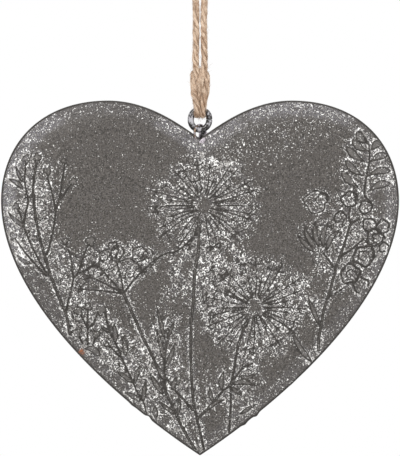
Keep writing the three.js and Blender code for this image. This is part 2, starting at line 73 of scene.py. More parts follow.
# The meadow's marks, x from the middle and z from the tip. A row of stalks holds the width in line
# widths, one of budded stalks the bud's size, and one of leaves or fronds the width in millimetres;
# then come x and z of each point.
STALKS: Rows = (
    (1.4, -48.8, 45.8, -50.2, 53, -52.4, 58.6, -56.5, 69.5, -60.8, 85.5, -62.4, 96.3, -62.4, 102.7, -61.1,
     111.4),
    (1, -57.3, 75.9, -56.3, 79.6, -54.9, 85.5, -53.9, 92.5, -52.5, 97.4, -51.7, 102.7, -50.9, 108.1, -50.7,
     110.6),
    (1, -50.2, 53, -49.7, 57.1, -48.5, 61.4, -47.4, 66.9), (1, -45, 68.9, -42.6, 70.2, -39.8, 72.4),
    (0.9, -28.6, 61.2, -26.6, 64, -22.8, 68.5, -18.8, 72.2, -13.6, 75.9, -8.1, 77.4, -2, 83),
    (1.4, -28.6, 61.2, -27.3, 58.2, -24.5, 52, -21.2, 44.5, -17.9, 37.9, -15.1, 32.2, -12.2, 28.8, -9.4,
     25.1, -6, 21.3, -2.8, 17.5),
    (1, -35.4, 53.9, -34.6, 49.5, -33.2, 45.5, -31.5, 42.4, -29.2, 36.9, -27.3, 32.6, -25.4, 28.5, -23.6,
     24.3, -21.2, 20.2, -20, 15.5),
    (1.35, -1.9, 2.5, -4.7, 7.3, -7.5, 12.4, -9, 16.2, -11.3, 20.9, -12.8, 24.7, -13.3, 29.4, -13.2, 37.9,
     -12.2, 43.5, -11.4, 48.4),
    (1.5, -0.5, 89.1, -0.6, 77.4, -1.9, 69.9, -2.5, 58.6, -3.3, 49.2, -3.5, 39, -3.1, 28.5, -2.4, 20.5,
     -1.1, 14.1, 0.3, 8.1, 1.5, 2.5),
    (1.25, 16.6, 49, 14.5, 42.4, 13.5, 37.1, 12.4, 30.7, 11.6, 26.2, 11.5, 18.3, 10.9, 8.5),
    (1.2, -0.8, 14.5, 2.6, 17.7, 5.9, 21.7, 9, 25.1, 11.3, 26.9, 13.9, 30.7, 16.2, 33.4, 19.6, 34.9),
    (0.8, 34.2, 47.5, 30.2, 50.3, 25, 53),
    (1.4, 44.5, 39.8, 44.7, 45, 45.5, 49.6, 46.4, 54.8, 47.9, 59.7, 49.5, 65, 51.1, 71.4, 53.3, 77.4, 54.9,
     82.3, 56.5, 87.2, 59.8, 89.3),
    (1, 47.9, 59.7, 50.8, 61.3, 53.9, 63.3), (1, 52.8, 75.3, 57.1, 78, 61.4, 81.7),
    (1, 50.1, 71, 47.5, 74.8, 45.2, 77.4), (1, 56.5, 87.2, 55.8, 91, 56.6, 94),
    (1, 64.1, 95.4, 61.7, 98.3, 62.3, 104.7, 63.5, 110.5, 63.5, 115.7, 62.9, 118, 60, 122.7),
)
BUDDED: Rows = (
    (3, -57.7, 69.2, -61, 74.8, -64.1, 81.2, -66, 86.5, -65.4, 91.4, -64.4, 95.5, -65.2, 100, -65.7, 104,
     -65.3, 111.7),
    (2.6, -66, 87.5, -67.5, 91, -69, 93.9), (2.8, -57.7, 67.8, -64.6, 75.3, -70.2, 82.7),
    (3, -54.1, 91.5, -55.2, 97.9, -56.8, 103.8, -57.1, 107.1), (2.8, -52.6, 96, -49.5, 100.6, -47.4, 103.1),
    (2.6, -47.4, 66.9, -48.5, 74.8, -49.8, 78.6, -50.6, 80.8),
    (3.4, -47.4, 66.9, -45.5, 69.4, -44.1, 73.7, -42.6, 78, -40.9, 80.8),
    (3, -42.2, 42, -42.2, 48.8, -42, 56.3), (3.2, -42.2, 48.4, -43.7, 51.1, -45.5, 54.5),
    (3.6, -42.2, 48, -40, 50, -38.6, 53, -37.1, 55), (3.4, -44.1, 42.4, -46.2, 46.5),
    (2.8, -40, 42.1, -38.9, 45.9), (2.2, -30.2, 37.5, -32.6, 40.2, -34.9, 42.1),
)
LEAVES: Rows = (
    (2, -66.2, 100.6, -69, 102.8, -71.9, 104.3), (1.7, -66.4, 103, -68, 105.8, -69.2, 108.9),
    (1.9, -65.6, 86, -69.5, 88.8, -72.1, 91.6), (1.8, -63.4, 72.3, -66.4, 73.4, -69, 75.7),
    (2.8, -37.6, 37.8, -40.3, 40.3, -43.2, 40.4), (2.1, -31.6, 43, -31.8, 46.5, -32.2, 50),
    (1.6, -33.6, 46.7, -35.4, 47.6, -37.4, 49.5), (2.2, -27.9, 37.6, -28.1, 41.5, -28.8, 45.2),
    (2, -24.4, 27.8, -23.7, 31, -22.3, 34.2), (2, -25.2, 27.6, -28.2, 30, -31.4, 32),
    (2.2, -22.4, 20.8, -24.8, 22.4, -28, 24), (2, -21.3, 20.5, -21, 24.5, -20.2, 28.3),
    (1.9, -13.4, 36, -14.8, 42.4, -16.3, 47.8), (1.8, -13.2, 44, -14.7, 50.3, -16.1, 56),
    (1.9, -12.9, 33.5, -11.1, 37.5, -9.2, 42.6), (2.1, -13.9, 23.4, -16.6, 27.3, -18.8, 31.4),
    (2.1, -13.3, 29, -14.8, 31.6, -16.6, 34.6), (1.8, -9, 15.8, -12.1, 17.9, -15.6, 20.8),
    (2.4, -16.5, 14.6, -16.8, 16.6, -16.9, 19), (1.6, -8.5, 15.6, -7.8, 19, -7.8, 22.4),
    (2, -10.4, 25, -9.8, 27.4, -8.8, 30), (1.5, -12.6, 44.5, -11, 47, -9.6, 51),
    (1.7, 2.8, 17.6, 6, 20.3, 9.2, 21.4), (1.9, 4.8, 20.6, 4, 23, 3.6, 26),
    (2.2, 8.2, 25, 7.9, 28.4, 8.8, 31.8), (2.1, 12.2, 27.4, 16, 28, 20.6, 26.8),
    (1.8, 11.8, 26.4, 13.4, 24.6, 15.8, 23.4), (1.7, 14.4, 30.2, 18, 29.6, 21.8, 31.8),
    (1.7, 15.2, 15.8, 18, 17.8, 21.2, 19.6), (2.3, 42, 35.4, 38.8, 39, 36.6, 42.4, 34.2, 47.5),
    (2, 44.6, 49.4, 43, 53.6, 40.6, 59.6), (2.1, 42.6, 76.8, 38.7, 80.5, 36.6, 83.2),
    (2.1, 43.2, 78, 40.15, 82.9, 38.9, 86.8), (2.1, 44.6, 78.6, 43, 84, 43.2, 88.4),
    (2.1, 46.2, 78.6, 46.2, 83.7, 48, 87.8), (2.1, 47.6, 77.8, 49.1, 82, 52.4, 85.2),
)
FRONDS: Rows = (
    (3, 59.2, 101.2, 56.15, 103.2, 53.1, 107), (3, 61.2, 105.3, 57.85, 107.3, 54.5, 111.1),
    (3, 61.9, 110.5, 58.35, 112.5, 54.8, 116.3), (3, 62.9, 114.6, 60, 115.8, 57.1, 118.8),
    (3, 62.7, 117.5, 60.8, 118.75, 58.9, 121.8), (3, 62.9, 99.5, 67.25, 101.95, 71.6, 102.6),
    (3, 63, 105.4, 67.3, 107.2, 71.6, 107.2), (3, 64, 110.6, 67.2, 112.7, 70.4, 113),
    (3, 64.4, 115.1, 66.2, 117.25, 68, 117.6),
)
# Curled petals: x, z, radius, turns and the line's width in line widths.
PETALS: Rows = (
    (-30.8, 76.4, 2.5, 1, 0.7), (-27, 70.5, 3.8, 1, 0.7), (-35.8, 75.4, 2, 1, 0.7),
    (-22.6, 75.8, 2.9, 1, 0.7), (-19.4, 76, 1.9, 1, 0.7), (-32.6, 79, 1.7, 1, 0.7),
    (56.2, 96.4, 3, 1.1, 0.9), (62.2, 93.4, 2.5, 1, 0.9), (68.7, 86.1, 2.6, 1, 1), (65.8, 82.1, 3.3, 1, 1),
    (66, 82, 1.6, 0.8, 0.7), (63.5, 86.9, 2.5, 0.9, 0.9), (61.7, 75.1, 4, 1, 1.2), (61.5, 75.3, 2, 0.8, 0.7),
    (56.5, 68.4, 3.7, 1, 1.1), (56.7, 68.2, 1.9, 0.8, 0.8), (60.4, 64.4, 2.9, 0.7, 1.1),
    (43.7, 95.4, 4.4, 1, 0.7), (45.6, 96.3, 2.1, 0.9, 0.7), (69.2, 78.4, 1.9, 0.8, 0.9),
    (52.6, 89.8, 2.2, 0.8, 0.8),
)
# The open spray's stalks from its hub: x and z halfway and at the tip.
SPRAY: Rows = (
    (-35.8, 65, -40.9, 67.3), (-36.8, 62.2, -43.8, 62.8), (-33.2, 66.1, -37.7, 71),
    (-29.4, 66.1, -31, 72.5), (-26, 64.8, -22.2, 69),
)
# Ovals of short marks between the plants: x, z, half width, half height, lean in degrees and count.
UNDERGROWTH: Rows = (
    (-30, 72, 14, 7, 0, 80), (-28, 36, 20, 7, -45, 90), (-13, 38, 5, 15, 5, 40), (-8, 18, 8, 9, 0, 34),
    (54, 79, 13, 12, 0, 90), (45, 83, 8, 6, 0, 34), (-3, 71, 9, 11, 0, 56), (6, 57, 7, 14, 0, 70),
    (11, 74, 9, 6, -20, 34), (-10, 56, 5, 8, 0, 16), (15, 27, 8, 7, 30, 30), (-62, 92, 5, 18, -8, 50),
    (-50, 68, 7, 15, 18, 60), (22, 55, 21, 19, 0, 110), (1.5, 94, 22, 18, 0, 60), (56, 96, 5, 6, 0, 16),
    (-43, 50, 6, 8, 30, 26),
)


class Body(Enum):
    """The rigid bodies that pieces ride on."""

    TWINE = "twine"
    RING = "ring"
    HEART = "heart"


class Mark(Enum):
    """What one pressed stroke is. A blade's value is its share of width at the ends and its lean."""

    STEM = None
    BUD = "round"
    LEAF = (0.25, 0.8)
    FROND = (0.2, 1.4)


def node_box(name: str) -> tuple[Array, Array]:
    """Gives a CAD node's lowest and highest corners in millimetres."""
    low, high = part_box(name)
    return np.array(low) / MM, np.array(high) / MM


def pick(*pieces: Piece) -> None:
    """Selects some pieces and nothing else, the first of them active.

    Args:
        pieces: The pieces, or none.
    """
    if bpy.context.mode != "OBJECT":
        bpy.ops.object.mode_set(mode="OBJECT")
    bpy.ops.object.select_all(action="DESELECT")
    for piece in pieces:
        piece.select_set(True)
        bpy.context.view_layer.objects.active = pieces[0]


def named(name: str) -> Piece:
    """Names the active piece and its mesh alike.

    Args:
        name: The name.

    Returns:
        The piece.
    """
    piece = bpy.context.object
    piece.name = piece.data.name = name
    return piece


def joined(name: str, *pieces: Piece) -> Piece:
    """Joins pieces into one.

    Args:
        name: Its name.
        pieces: The pieces.

    Returns:
        The one piece.
    """
    pick(*pieces)
    bpy.ops.object.join()
    return named(name)


@contextmanager
def editing(piece: Piece, element: str) -> Iterator[bmesh.types.BMesh]:
    """Opens a piece in edit mode with nothing selected, and closes it after use.

    Args:
        piece: The piece.
        element: What gets selected in it, EDGE or FACE.

    Yields:
        The mesh in edit mode.
    """
    pick(piece)
    bpy.ops.object.mode_set(mode="EDIT")
    bpy.ops.mesh.select_mode(type=element)
    bpy.ops.mesh.select_all(action="DESELECT")
    yield bmesh.from_edit_mesh(piece.data)
    bpy.ops.object.mode_set(mode="OBJECT")


def select_open_edges() -> None:
    """Selects the open edges of the piece in edit mode."""
    bpy.ops.mesh.select_non_manifold(extend=False, use_wire=False, use_boundary=True, use_multi_face=False,
                                     use_non_contiguous=False, use_verts=False)


def face_outward() -> None:
    """Turns all faces of the piece in edit mode outward."""
    bpy.ops.mesh.select_all(action="SELECT")
    bpy.ops.mesh.normals_make_consistent(inside=False)


def delete_faces(piece: Piece, unwanted: Callable[[Array], Array]) -> None:
    """Deletes the faces that a test picks.

    Args:
        piece: The piece.
        unwanted: The test, from the faces' middles in millimetres to true or false for each.
    """
    with editing(piece, "FACE") as shell:
        middles = np.array([face.calc_center_median() for face in shell.faces]) / MM
        for face, gone in zip(shell.faces, unwanted(middles).tolist()):
            face.select = gone
        bmesh.update_edit_mesh(piece.data)
        bpy.ops.mesh.delete(type="FACE")


def coordinates(piece: Piece) -> Array:
    """Reads a piece's points.

    Args:
        piece: The piece.

    Returns:
        The points in millimetres, three columns.
    """
    flat = np.zeros(len(piece.data.vertices) * 3)
    piece.data.vertices.foreach_get("co", flat)
    return flat.reshape(-1, 3) / MM


def move_points(piece: Piece, points: Array) -> None:
    """Moves a piece's points to places in millimetres."""
    piece.data.vertices.foreach_set("co", (points * MM).ravel())
    piece.data.update()


def store(piece: Piece, **numbers: Array) -> None:
    """Stores numbers per point under the names that a material reads."""
    for name, values in numbers.items():
        piece.data.attributes.new(name, "FLOAT", "POINT").data.foreach_set("value", np.ravel(values))


def smooth_by_angle(piece: Piece, degrees: float) -> None:
    """Shades a piece smooth apart from edges sharper than an angle."""
    pick(piece)
    bpy.ops.object.shade_smooth_by_angle(angle=math.radians(degrees))


def heading(angle: float | Array) -> Array:
    """Gives the way at an angle: its cosine and sine, on the last axis."""
    return np.stack([np.cos(angle), np.sin(angle)], axis=-1)


def spline(points: Array, per_span: int) -> Array:
    """Runs a smooth curve through points.

    Args:
        points: The points, in any number of dimensions.
        per_span: How many steps lie between two of them.

    Returns:
        The points of the curve.
    """
    p = np.array(points, float)
    if len(p) < 3:
        return np.linspace(p[0], p[1], per_span + 1)
    q = np.vstack([2 * p[0] - p[1], p, 2 * p[-1] - p[-2]])
    t = np.linspace(0, 1, per_span, endpoint=False)[:, None]
    runs = []
    for a, b, c, d in zip(q, q[1:], q[2:], q[3:]):
        bend = (2 * a - 5 * b + 4 * c - d) * t**2 + (3 * b - a - 3 * c + d) * t**3
        runs.append(0.5 * (2 * b + (c - a) * t + bend))
    return np.vstack([*runs, p[-1:]])


def distances(line: Array) -> Array:
    """Gives each point's distance from the first, measured along the line."""
    return np.concatenate([[0], np.cumsum(np.linalg.norm(np.diff(line, axis=0), axis=1))])


def evenly(line: Array, step: float) -> Array:
    """Spaces a line's points at about one distance.

    Args:
        line: The points.
        step: The distance wanted.

    Returns:
        The new points, with both ends kept.
    """
    along = distances(line)
    wanted = np.linspace(0, along[-1], max(2, round(along[-1] / step) + 1))
    return np.column_stack([np.interp(wanted, along, column) for column in line.T])


def outside_line(line: Array, halves: Array, x: Array, z: Array) -> Array:
    """Measures how far points lie outside a line of some width.

    Args:
        line: The line's points, two columns.
        halves: Half the line's width at each of them.
        x: The points across.
        z: Their heights.

    Returns:
        The distances, below 0 inside the width.
    """
    least = np.full(len(x), np.inf)
    for a, b, wide_a, wide_b in zip(line, line[1:], halves, halves[1:]):
        u = b - a
        t = np.clip(((x - a[0]) * u[0] + (z - a[1]) * u[1]) / max(u @ u, 1e-9), 0, 1)
        gap = np.hypot(x - a[0] - t * u[0], z - a[1] - t * u[1])
        least = np.minimum(least, gap - wide_a - (wide_b - wide_a) * t)
    return least


def carried_frames(line: Array) -> tuple[Array, Array, Array]:
    """Carries the way across along a line without letting it twist.

    Args:
        line: The points of the line.

    Returns:
        The tangent, the side and the normal at each point.
    """
    tangents = np.gradient(line, axis=0)
    tangents /= np.linalg.norm(tangents, axis=1)[:, None]
    side, sides = ACROSS, []
    for tangent in tangents:
        side = side - tangent * float(side @ tangent)
        side = side / np.linalg.norm(side)
        sides.append(side)
    return tangents, np.array(sides), np.cross(tangents, sides)


def skin(name: str, tubes: Array, **numbers: Array) -> Piece:
    """Skins rings of points into closed tubes.

    Args:
        name: The piece's name.
        tubes: Points by tube, ring, place round the ring and axis, in millimetres.
        numbers: Numbers per tube, ring and place, by name.

    Returns:
        The new piece.
    """
    place = np.arange(tubes.size // 3).reshape(tubes.shape[:3])
    following = np.roll(place, -1, axis=2)
    quads = np.stack([place[:, :-1], following[:, :-1], following[:, 1:], place[:, 1:]], axis=-1)
    faces = [*quads.reshape(-1, 4).tolist(), *place[:, 0, ::-1].tolist(), *place[:, -1].tolist()]
    piece = bpy.data.objects.new(name, bpy.data.meshes.new(name))
    piece.data.from_pydata((tubes.reshape(-1, 3) * MM).tolist(), [], faces)
    store(piece, **numbers)
    bpy.context.collection.objects.link(piece)
    return piece


@dataclass(frozen=True)
class HeartForm:
    """The heart's outline, x from the middle and z from the tip, and the swell of its domes."""

    width: float
    height: float
    lobe_top_x: float = 34.6
    widest_height: float = 96
    notch_height: float = 119.5
    notch_slope_deg: float = 34.7
    tip_slope_deg: float = 33.5
    centre_height: float = 82
    notch_handle: float = 8.7
    lobe_inner_handle: float = 15.4
    lobe_outer_handle: float = 26
    widest_upper_handle: float = 21
    widest_lower_handle: float = 34.5
    tip_handle: float = 44
    crown_reach: float = 34
    shoulder_roundness: float = 2.2
    edge_blend: float = 0.4
    coarse_steps: int = 24
    fine_steps: int = 160

    def half_outline(self, steps: int) -> Array:
        """Gives the right half, from the notch over the lobe to the tip.

        Args:
            steps: How many points each of the three curves has.

        Returns:
            The points, two columns.
        """
        half, top, wide = self.width / 2, self.height, self.widest_height
        notch = self.notch_handle * heading(math.radians(self.notch_slope_deg))
        curves = np.array([
            [(0, self.notch_height), notch + (0, self.notch_height),
             (self.lobe_top_x - self.lobe_inner_handle, top), (self.lobe_top_x, top)],
            [(self.lobe_top_x, top), (self.lobe_top_x + self.lobe_outer_handle, top),
             (half, wide + self.widest_upper_handle), (half, wide)],
            [(half, wide), (half, wide - self.widest_lower_handle),
             self.tip_handle * heading(math.radians(self.tip_slope_deg)), (0, 0)],
        ])
        t = np.linspace(0, 1, steps, endpoint=False)
        weights = np.stack([(1 - t) ** 3, 3 * t * (1 - t) ** 2, 3 * t**2 * (1 - t), t**3], axis=1)
        return np.vstack([*(weights @ curves), (0, 0)])

    def to_half(self, x: Array, z: Array) -> Array:
        """Gives each point's distance to the right half of the outline."""
        half = self.half_outline(self.coarse_steps)
        return outside_line(half, np.zeros(len(half)), x, z)

    def dome(self, x: Array, z: Array, foot: float, sizes: tuple[float, float, float]) -> tuple[Array, Array]:
        """Gives how far a pressed sheet stands out, blended where both lobes are equally near.

        Args:
            x: The points across.
            z: Their heights above the tip.
            foot: How far in from the edge the dome starts.
            sizes: The shoulder's height, how far in it reaches, and the crown's extra height.

        Returns:
            The distance from the foot and the height at each point.
        """
        near, far = self.to_half(np.abs(x), z), self.to_half(-np.abs(x), z)
        blend = self.edge_blend * (near + far)
        mix = np.maximum(0, 1 - (far - near) / np.maximum(blend, 1e-9))
        inset = np.maximum(0, near - mix * mix * blend / 4 - foot)
        shoulder, reach, crown = sizes
        rounded = 1 - (1 - np.clip(inset / reach, 0, 1)) ** self.shoulder_roundness
        swell = 1 - (1 - np.clip(inset / self.crown_reach, 0, 1)) ** 2
        return inset, shoulder * rounded + crown * swell

    def from_centre(self, flat: Array) -> Array:
        """Gives each point's distance from the heart's centre."""
        return np.hypot(flat[:, 0], flat[:, 1] - self.centre_height)

    def on_edge(self, x: Array, z: Array) -> tuple[Array, Array]:
        """Finds where the ray from the heart's centre through each point meets the edge.

        Args:
            x: The points across.
            z: Their heights above the tip.

        Returns:
            The places on the edge, and the way inwards from each that gains 1 mm square to the edge.
        """
        half = self.half_outline(self.fine_steps)
        edge = np.vstack([half, half[-2:0:-1] * (-1, 1)])
        tangent = np.roll(edge, -1, axis=0) - np.roll(edge, 1, axis=0)
        normal = np.column_stack([-tangent[:, 1], tangent[:, 0]])
        normal /= np.linalg.norm(normal, axis=1)[:, None]
        inwards = (0, self.centre_height) - edge
        inwards /= np.abs((inwards * normal).sum(1))[:, None]
        turn = np.mod(math.pi / 2 - np.arctan2(edge[:, 1] - self.centre_height, edge[:, 0]), TURN)
        turn[0] = 0
        asked = np.mod(math.pi / 2 - np.arctan2(z - self.centre_height, x), TURN)
        table = np.hstack([edge, inwards])
        table = np.vstack([table, table[:1]]).T
        found = np.column_stack([np.interp(asked, np.append(turn, TURN), column) for column in table])
        return found[:, :2], found[:, 2:]


@dataclass(frozen=True)
class Stroke:
    """One raised line of the meadow."""

    points: Array
    width: float
    mark: Mark
    per_span: int = 8
    step: float = 0.7
    stem_taper: float = 0.25

    def line(self) -> Array:
        """Gives the stroke's middle line in short steps."""
        return evenly(spline(self.points, self.per_span), self.step)

    def half_widths(self, count: int) -> Array:
        """Gives half the stroke's width along its line.

        Args:
            count: How many points the line has.

        Returns:
            The half widths.
        """
        share = np.linspace(0, 1, count)
        if self.mark is Mark.BUD:
            return np.full(count, self.width / 2)
        if self.mark is Mark.STEM:
            return self.width * (1 - self.stem_taper * share) / 2
        ends, lean = self.mark.value
        return self.width * (ends + (1 - ends) * np.sin(math.pi * share**lean)) / 2


@dataclass
class Meadow:
    """The plants pressed into the front."""

    line_width: float = 0.9
    flank: float = 0.5
    flat_top: float = 0.15
    curl: float = 0.55
    curl_from: float = 0.6
    short_ray: float = 0.62
    long_ray: float = 0.94
    ray_width: float = 0.68
    ray_fork: float = 0.84
    floret_from: float = 0.82
    floret_reach: float = 0.99
    floret_width: float = 0.64
    floret_spread: float = 0.11
    spray_width: float = 0.9
    spray_floret: float = 3
    spray_floret_width: float = 0.75
    spray_spread: float = 0.7
    budded_width: float = 0.95
    hub: tuple[float, float] = (-28.6, 61.2)
    seed: int = 4
    strokes: list[Stroke] = field(default_factory=list)

    def add(self, mark: Mark, width: float, *points: float | Array) -> None:
        """Adds a stroke through points, or through their x and z in turn."""
        self.strokes.append(Stroke(np.concatenate([np.ravel(p) for p in points]).reshape(-1, 2), width, mark))

    def stem(self, width: float, *points: float | Array) -> None:
        """Adds a stalk, its width in line widths."""
        self.add(Mark.STEM, width * self.line_width, *points)

    def bud(self, x: float, z: float, size: float) -> None:
        """Adds a round bud at a place."""
        self.add(Mark.BUD, size, x - 0.1, z, x + 0.1, z)

    def petal(self, x: float, z: float, size: float, turns: float, width: float) -> None:
        """Adds a curled petal line.

        Args:
            x: The middle's place across.
            z: Its height.
            size: The curl's outer radius.
            turns: How many times it goes round, curling inwards.
            width: The line's width in line widths.
        """
        angle = np.linspace(0, TURN * turns, max(14, round(20 * turns)))
        radius = size * (1 - self.curl * np.clip(angle / TURN - self.curl_from, 0, 1))
        radius *= 1 + 0.08 * np.sin(5 * angle + 3 * x) + 0.07 * np.sin(3 * angle + 5 * z)
        self.stem(width, (x, z) + radius[:, None] * heading(angle))

    def umbel(self, middle: tuple[float, float], reach: tuple[float, float], rays: int, hub: float) -> None:
        """Adds a round flower head: rays from a hub, each forked into florets.

        Args:
            middle: The hub's place.
            reach: How far the rays reach across and up.
            rays: How many rays there are.
            hub: The hub's radius.
        """
        draw = np.random.default_rng(self.seed + rays)
        for k in range(rays):
            angle = TURN * (k + draw.uniform(-0.22, 0.22)) / rays
            share = self.short_ray if k % 3 == 1 else self.long_ray
            arm = np.array(reach) * (share + draw.uniform(-0.05, 0.06))
            bend, start = draw.uniform(-0.04, 0.04), hub * draw.uniform(0.8, 1.7)
            self.stem(self.ray_width, middle + start * heading(angle),
                      middle + arm / 2 * heading(angle + bend), middle + self.ray_fork * arm * heading(angle))
            for turn in (-self.floret_spread, 0.0, self.floret_spread):
                self.stem(self.floret_width, middle + self.floret_from * arm * heading(angle),
                          middle + (self.floret_reach - abs(turn)) * arm * heading(angle + turn))

    def undergrowth(self) -> None:
        """Adds the short marks that fill the ground between the larger plants."""
        draw = np.random.default_rng(self.seed)
        for x, z, across, up, lean_deg, count in UNDERGROWTH:
            lean = math.radians(lean_deg)
            for _ in range(count):
                away = math.sqrt(draw.uniform(0.05, 1)) * heading(draw.uniform(0, TURN)) * (across, up)
                root = (x, z) + away @ np.array([heading(lean), heading(lean + math.pi / 2)])
                way, bend = math.radians(draw.uniform(30, 150)), draw.uniform(-0.6, 0.6)
                span = draw.uniform(1.4, 3)
                self.stem(draw.uniform(0.34, 0.52), root, root + span / 2 * heading(way + bend),
                          root + span * heading(way))

    def grow(self) -> "Meadow":
        """Adds every plant.

        Returns:
            The meadow itself.
        """
        for width, *points in STALKS:
            self.stem(width, *points)
        for size, *points in BUDDED:
            self.stem(self.budded_width, *points)
            self.bud(*points[-2:], size)
        for mark, rows in ((Mark.LEAF, LEAVES), (Mark.FROND, FRONDS)):
            for width, *points in rows:
                self.add(mark, width, *points)
        for petal in PETALS:
            self.petal(*petal)
        for x, z, tip_x, tip_z in SPRAY:
            self.stem(self.spray_width, *self.hub, x, z, tip_x, tip_z)
            away = math.atan2(tip_z - z, tip_x - x)
            for turn in (-self.spray_spread, 0, self.spray_spread):
                end = (tip_x, tip_z) + self.spray_floret * heading(away + turn)
                self.stem(self.spray_floret_width, tip_x, tip_z, end)
        self.bud(-61, 112.3, 3)
        self.bud(-51, 110.9, 2.2)
        self.umbel((1.5, 94), (22.8, 18.8), 34, 3.5)
        self.umbel((20.6, 56), (21, 19.8), 32, 3.1)
        self.undergrowth()
        return self

    def press(self, x: Array, z: Array, reach: float) -> tuple[Array, Array]:
        """Works out the relief that the strokes leave.

        Args:
            x: The sheet's points across.
            z: Their heights above the tip.
            reach: How far beside a stroke the second result still counts.

        Returns:
            How raised each point is, 0 to 1, and how far outside the nearest stroke it lies.
        """
        raised, beside = np.zeros(len(x)), np.full(len(x), reach, float)
        for stroke in self.strokes:
            line, margin = stroke.line(), reach + stroke.width
            low, high = line.min(0) - margin, line.max(0) + margin
            near = np.flatnonzero((x > low[0]) & (x < high[0]) & (z > low[1]) & (z < high[1]))
            outside = outside_line(line, stroke.half_widths(len(line)), x[near], z[near])
            if stroke.mark is Mark.BUD:
                bud_x, bud_z = line[0]
                bearing = np.arctan2(z[near] - bud_z, x[near] - bud_x)
                lumps = 0.2 * np.sin(3 * bearing + 7 * bud_x) + 0.14 * np.sin(5 * bearing - 4 * bud_z)
                outside += stroke.width / 2 * lumps
            rise = np.clip(self.flat_top - outside / (self.flank * self.line_width), 0, 1)
            raised[near] = np.maximum(raised[near], rise * (2 - rise))
            beside[near] = np.minimum(beside[near], outside)
        return raised, beside


@dataclass(frozen=True)
class Patch:
    """A soft oval of whitewash left on the sheet."""

    x: float
    z: float
    across: float
    up: float
    cover: float
    lean_deg: float = 0.0

    def over(self, x: Array, z: Array) -> Array:
        """Gives how much of the patch lies on each point.

        Args:
            x: The points across.
            z: Their heights above the tip.

        Returns:
            The cover, past 1 in the middle.
        """
        dx, dz = x - self.x, z - self.z
        way_x, way_z = heading(math.radians(self.lean_deg))
        u, v = (dx * way_x + dz * way_z) / self.across, (dz * way_x - dx * way_z) / self.up
        return self.cover * np.clip(1.5 - (u * u + v * v), 0, 1)


def patches(*rows: tuple[float, ...]) -> tuple[Patch, ...]:
    """Makes patches of their plain values."""
    return tuple(Patch(*row) for row in rows)


@dataclass(frozen=True)
class Whitewash:
    """Where the pale wash stays on the front: along the rim, beside the plants and in patches."""

    rim_width: float = 5.2
    rim_start: float = 0.8
    rim_fade: float = 2.6
    rim_in_ground: float = 1.25
    left_on: tuple[Patch, ...] = patches(
        (1.5, 94, 19.5, 16, 0.38), (20.5, 55, 19, 17.5, 0.42), (10, 114, 11, 9, 0.66),
        (25, 119, 26, 9, 0.54, 14), (44.4, 95.6, 5, 5, 0.4), (-63, 92, 8.5, 30, 0.48, -8),
        (-55, 68, 10, 20, 0.42, 24), (-43, 52, 11, 12, 0.42, 40), (-28, 70, 15, 12, 0.4),
        (-25, 36, 26, 17, 0.46, -42), (-12, 34, 12, 26, 0.44, 12), (61, 98, 9, 32, 0.42, 4),
        (54, 76, 13, 18, 0.4), (41, 60, 9, 12, 0.4), (0, 18, 24, 24, 0.42), (16, 30, 18, 12, 0.42, 20),
        (0, 72, 12, 14, 0.38), (7, 57, 8, 15, 0.4), (11, 74, 10, 7, 0.38, -20), (-0.5, 117.5, 6, 5, 1),
    )
    rubbed_bare: tuple[Patch, ...] = patches(
        (1.5, 93.6, 3.6, 2.8, 0.9), (20.9, 56, 7, 6.5, 0.4), (1.5, 94, 7, 6, 0.25), (-17, 61, 4.5, 9, 1, 20),
        (3, 39, 3.5, 8, 0.9, 20), (6, 13, 3.2, 6, 0.6), (28, 31, 10, 5, 0.9, 35),
    )
    on_rim: tuple[Patch, ...] = patches(
        (0, 60, 200, 200, 0.5), (-74, 94, 14, 28, 0.95), (-60, 118, 14, 14, 0.8, 40), (0, 122, 20, 14, 0.78),
        (38, 132, 26, 12, 0.8), (72, 84, 12, 30, 0.6),
    )

    def cover(self, inset: Array, x: Array, z: Array) -> tuple[Array, Array]:
        """Works out how much wash is left.

        Args:
            inset: The points' distance in from the edge.
            x: The points across.
            z: Their heights above the tip.

        Returns:
            The cover on the open ground and the film along the rim, each 0 to 1.
        """
        band = np.clip(inset / self.rim_start, 0, 1)
        band *= np.clip((self.rim_width + 1.6 - inset) / self.rim_fade, 0, 1)
        ground, rim = np.zeros_like(x), np.zeros_like(x)
        for patch in self.left_on:
            ground = np.maximum(ground, patch.over(x, z))
        for patch in self.rubbed_bare:
            ground *= 1 - np.clip(patch.over(x, z), 0, 1)
        for patch in self.on_rim:
            rim = np.maximum(rim, np.clip(patch.over(x, z), 0, patch.cover))
        ground = np.clip(np.maximum(ground, self.rim_in_ground * rim * band), 0, 1)
        return ground, np.clip(1.9 * rim - 0.8, 0, 1) * band


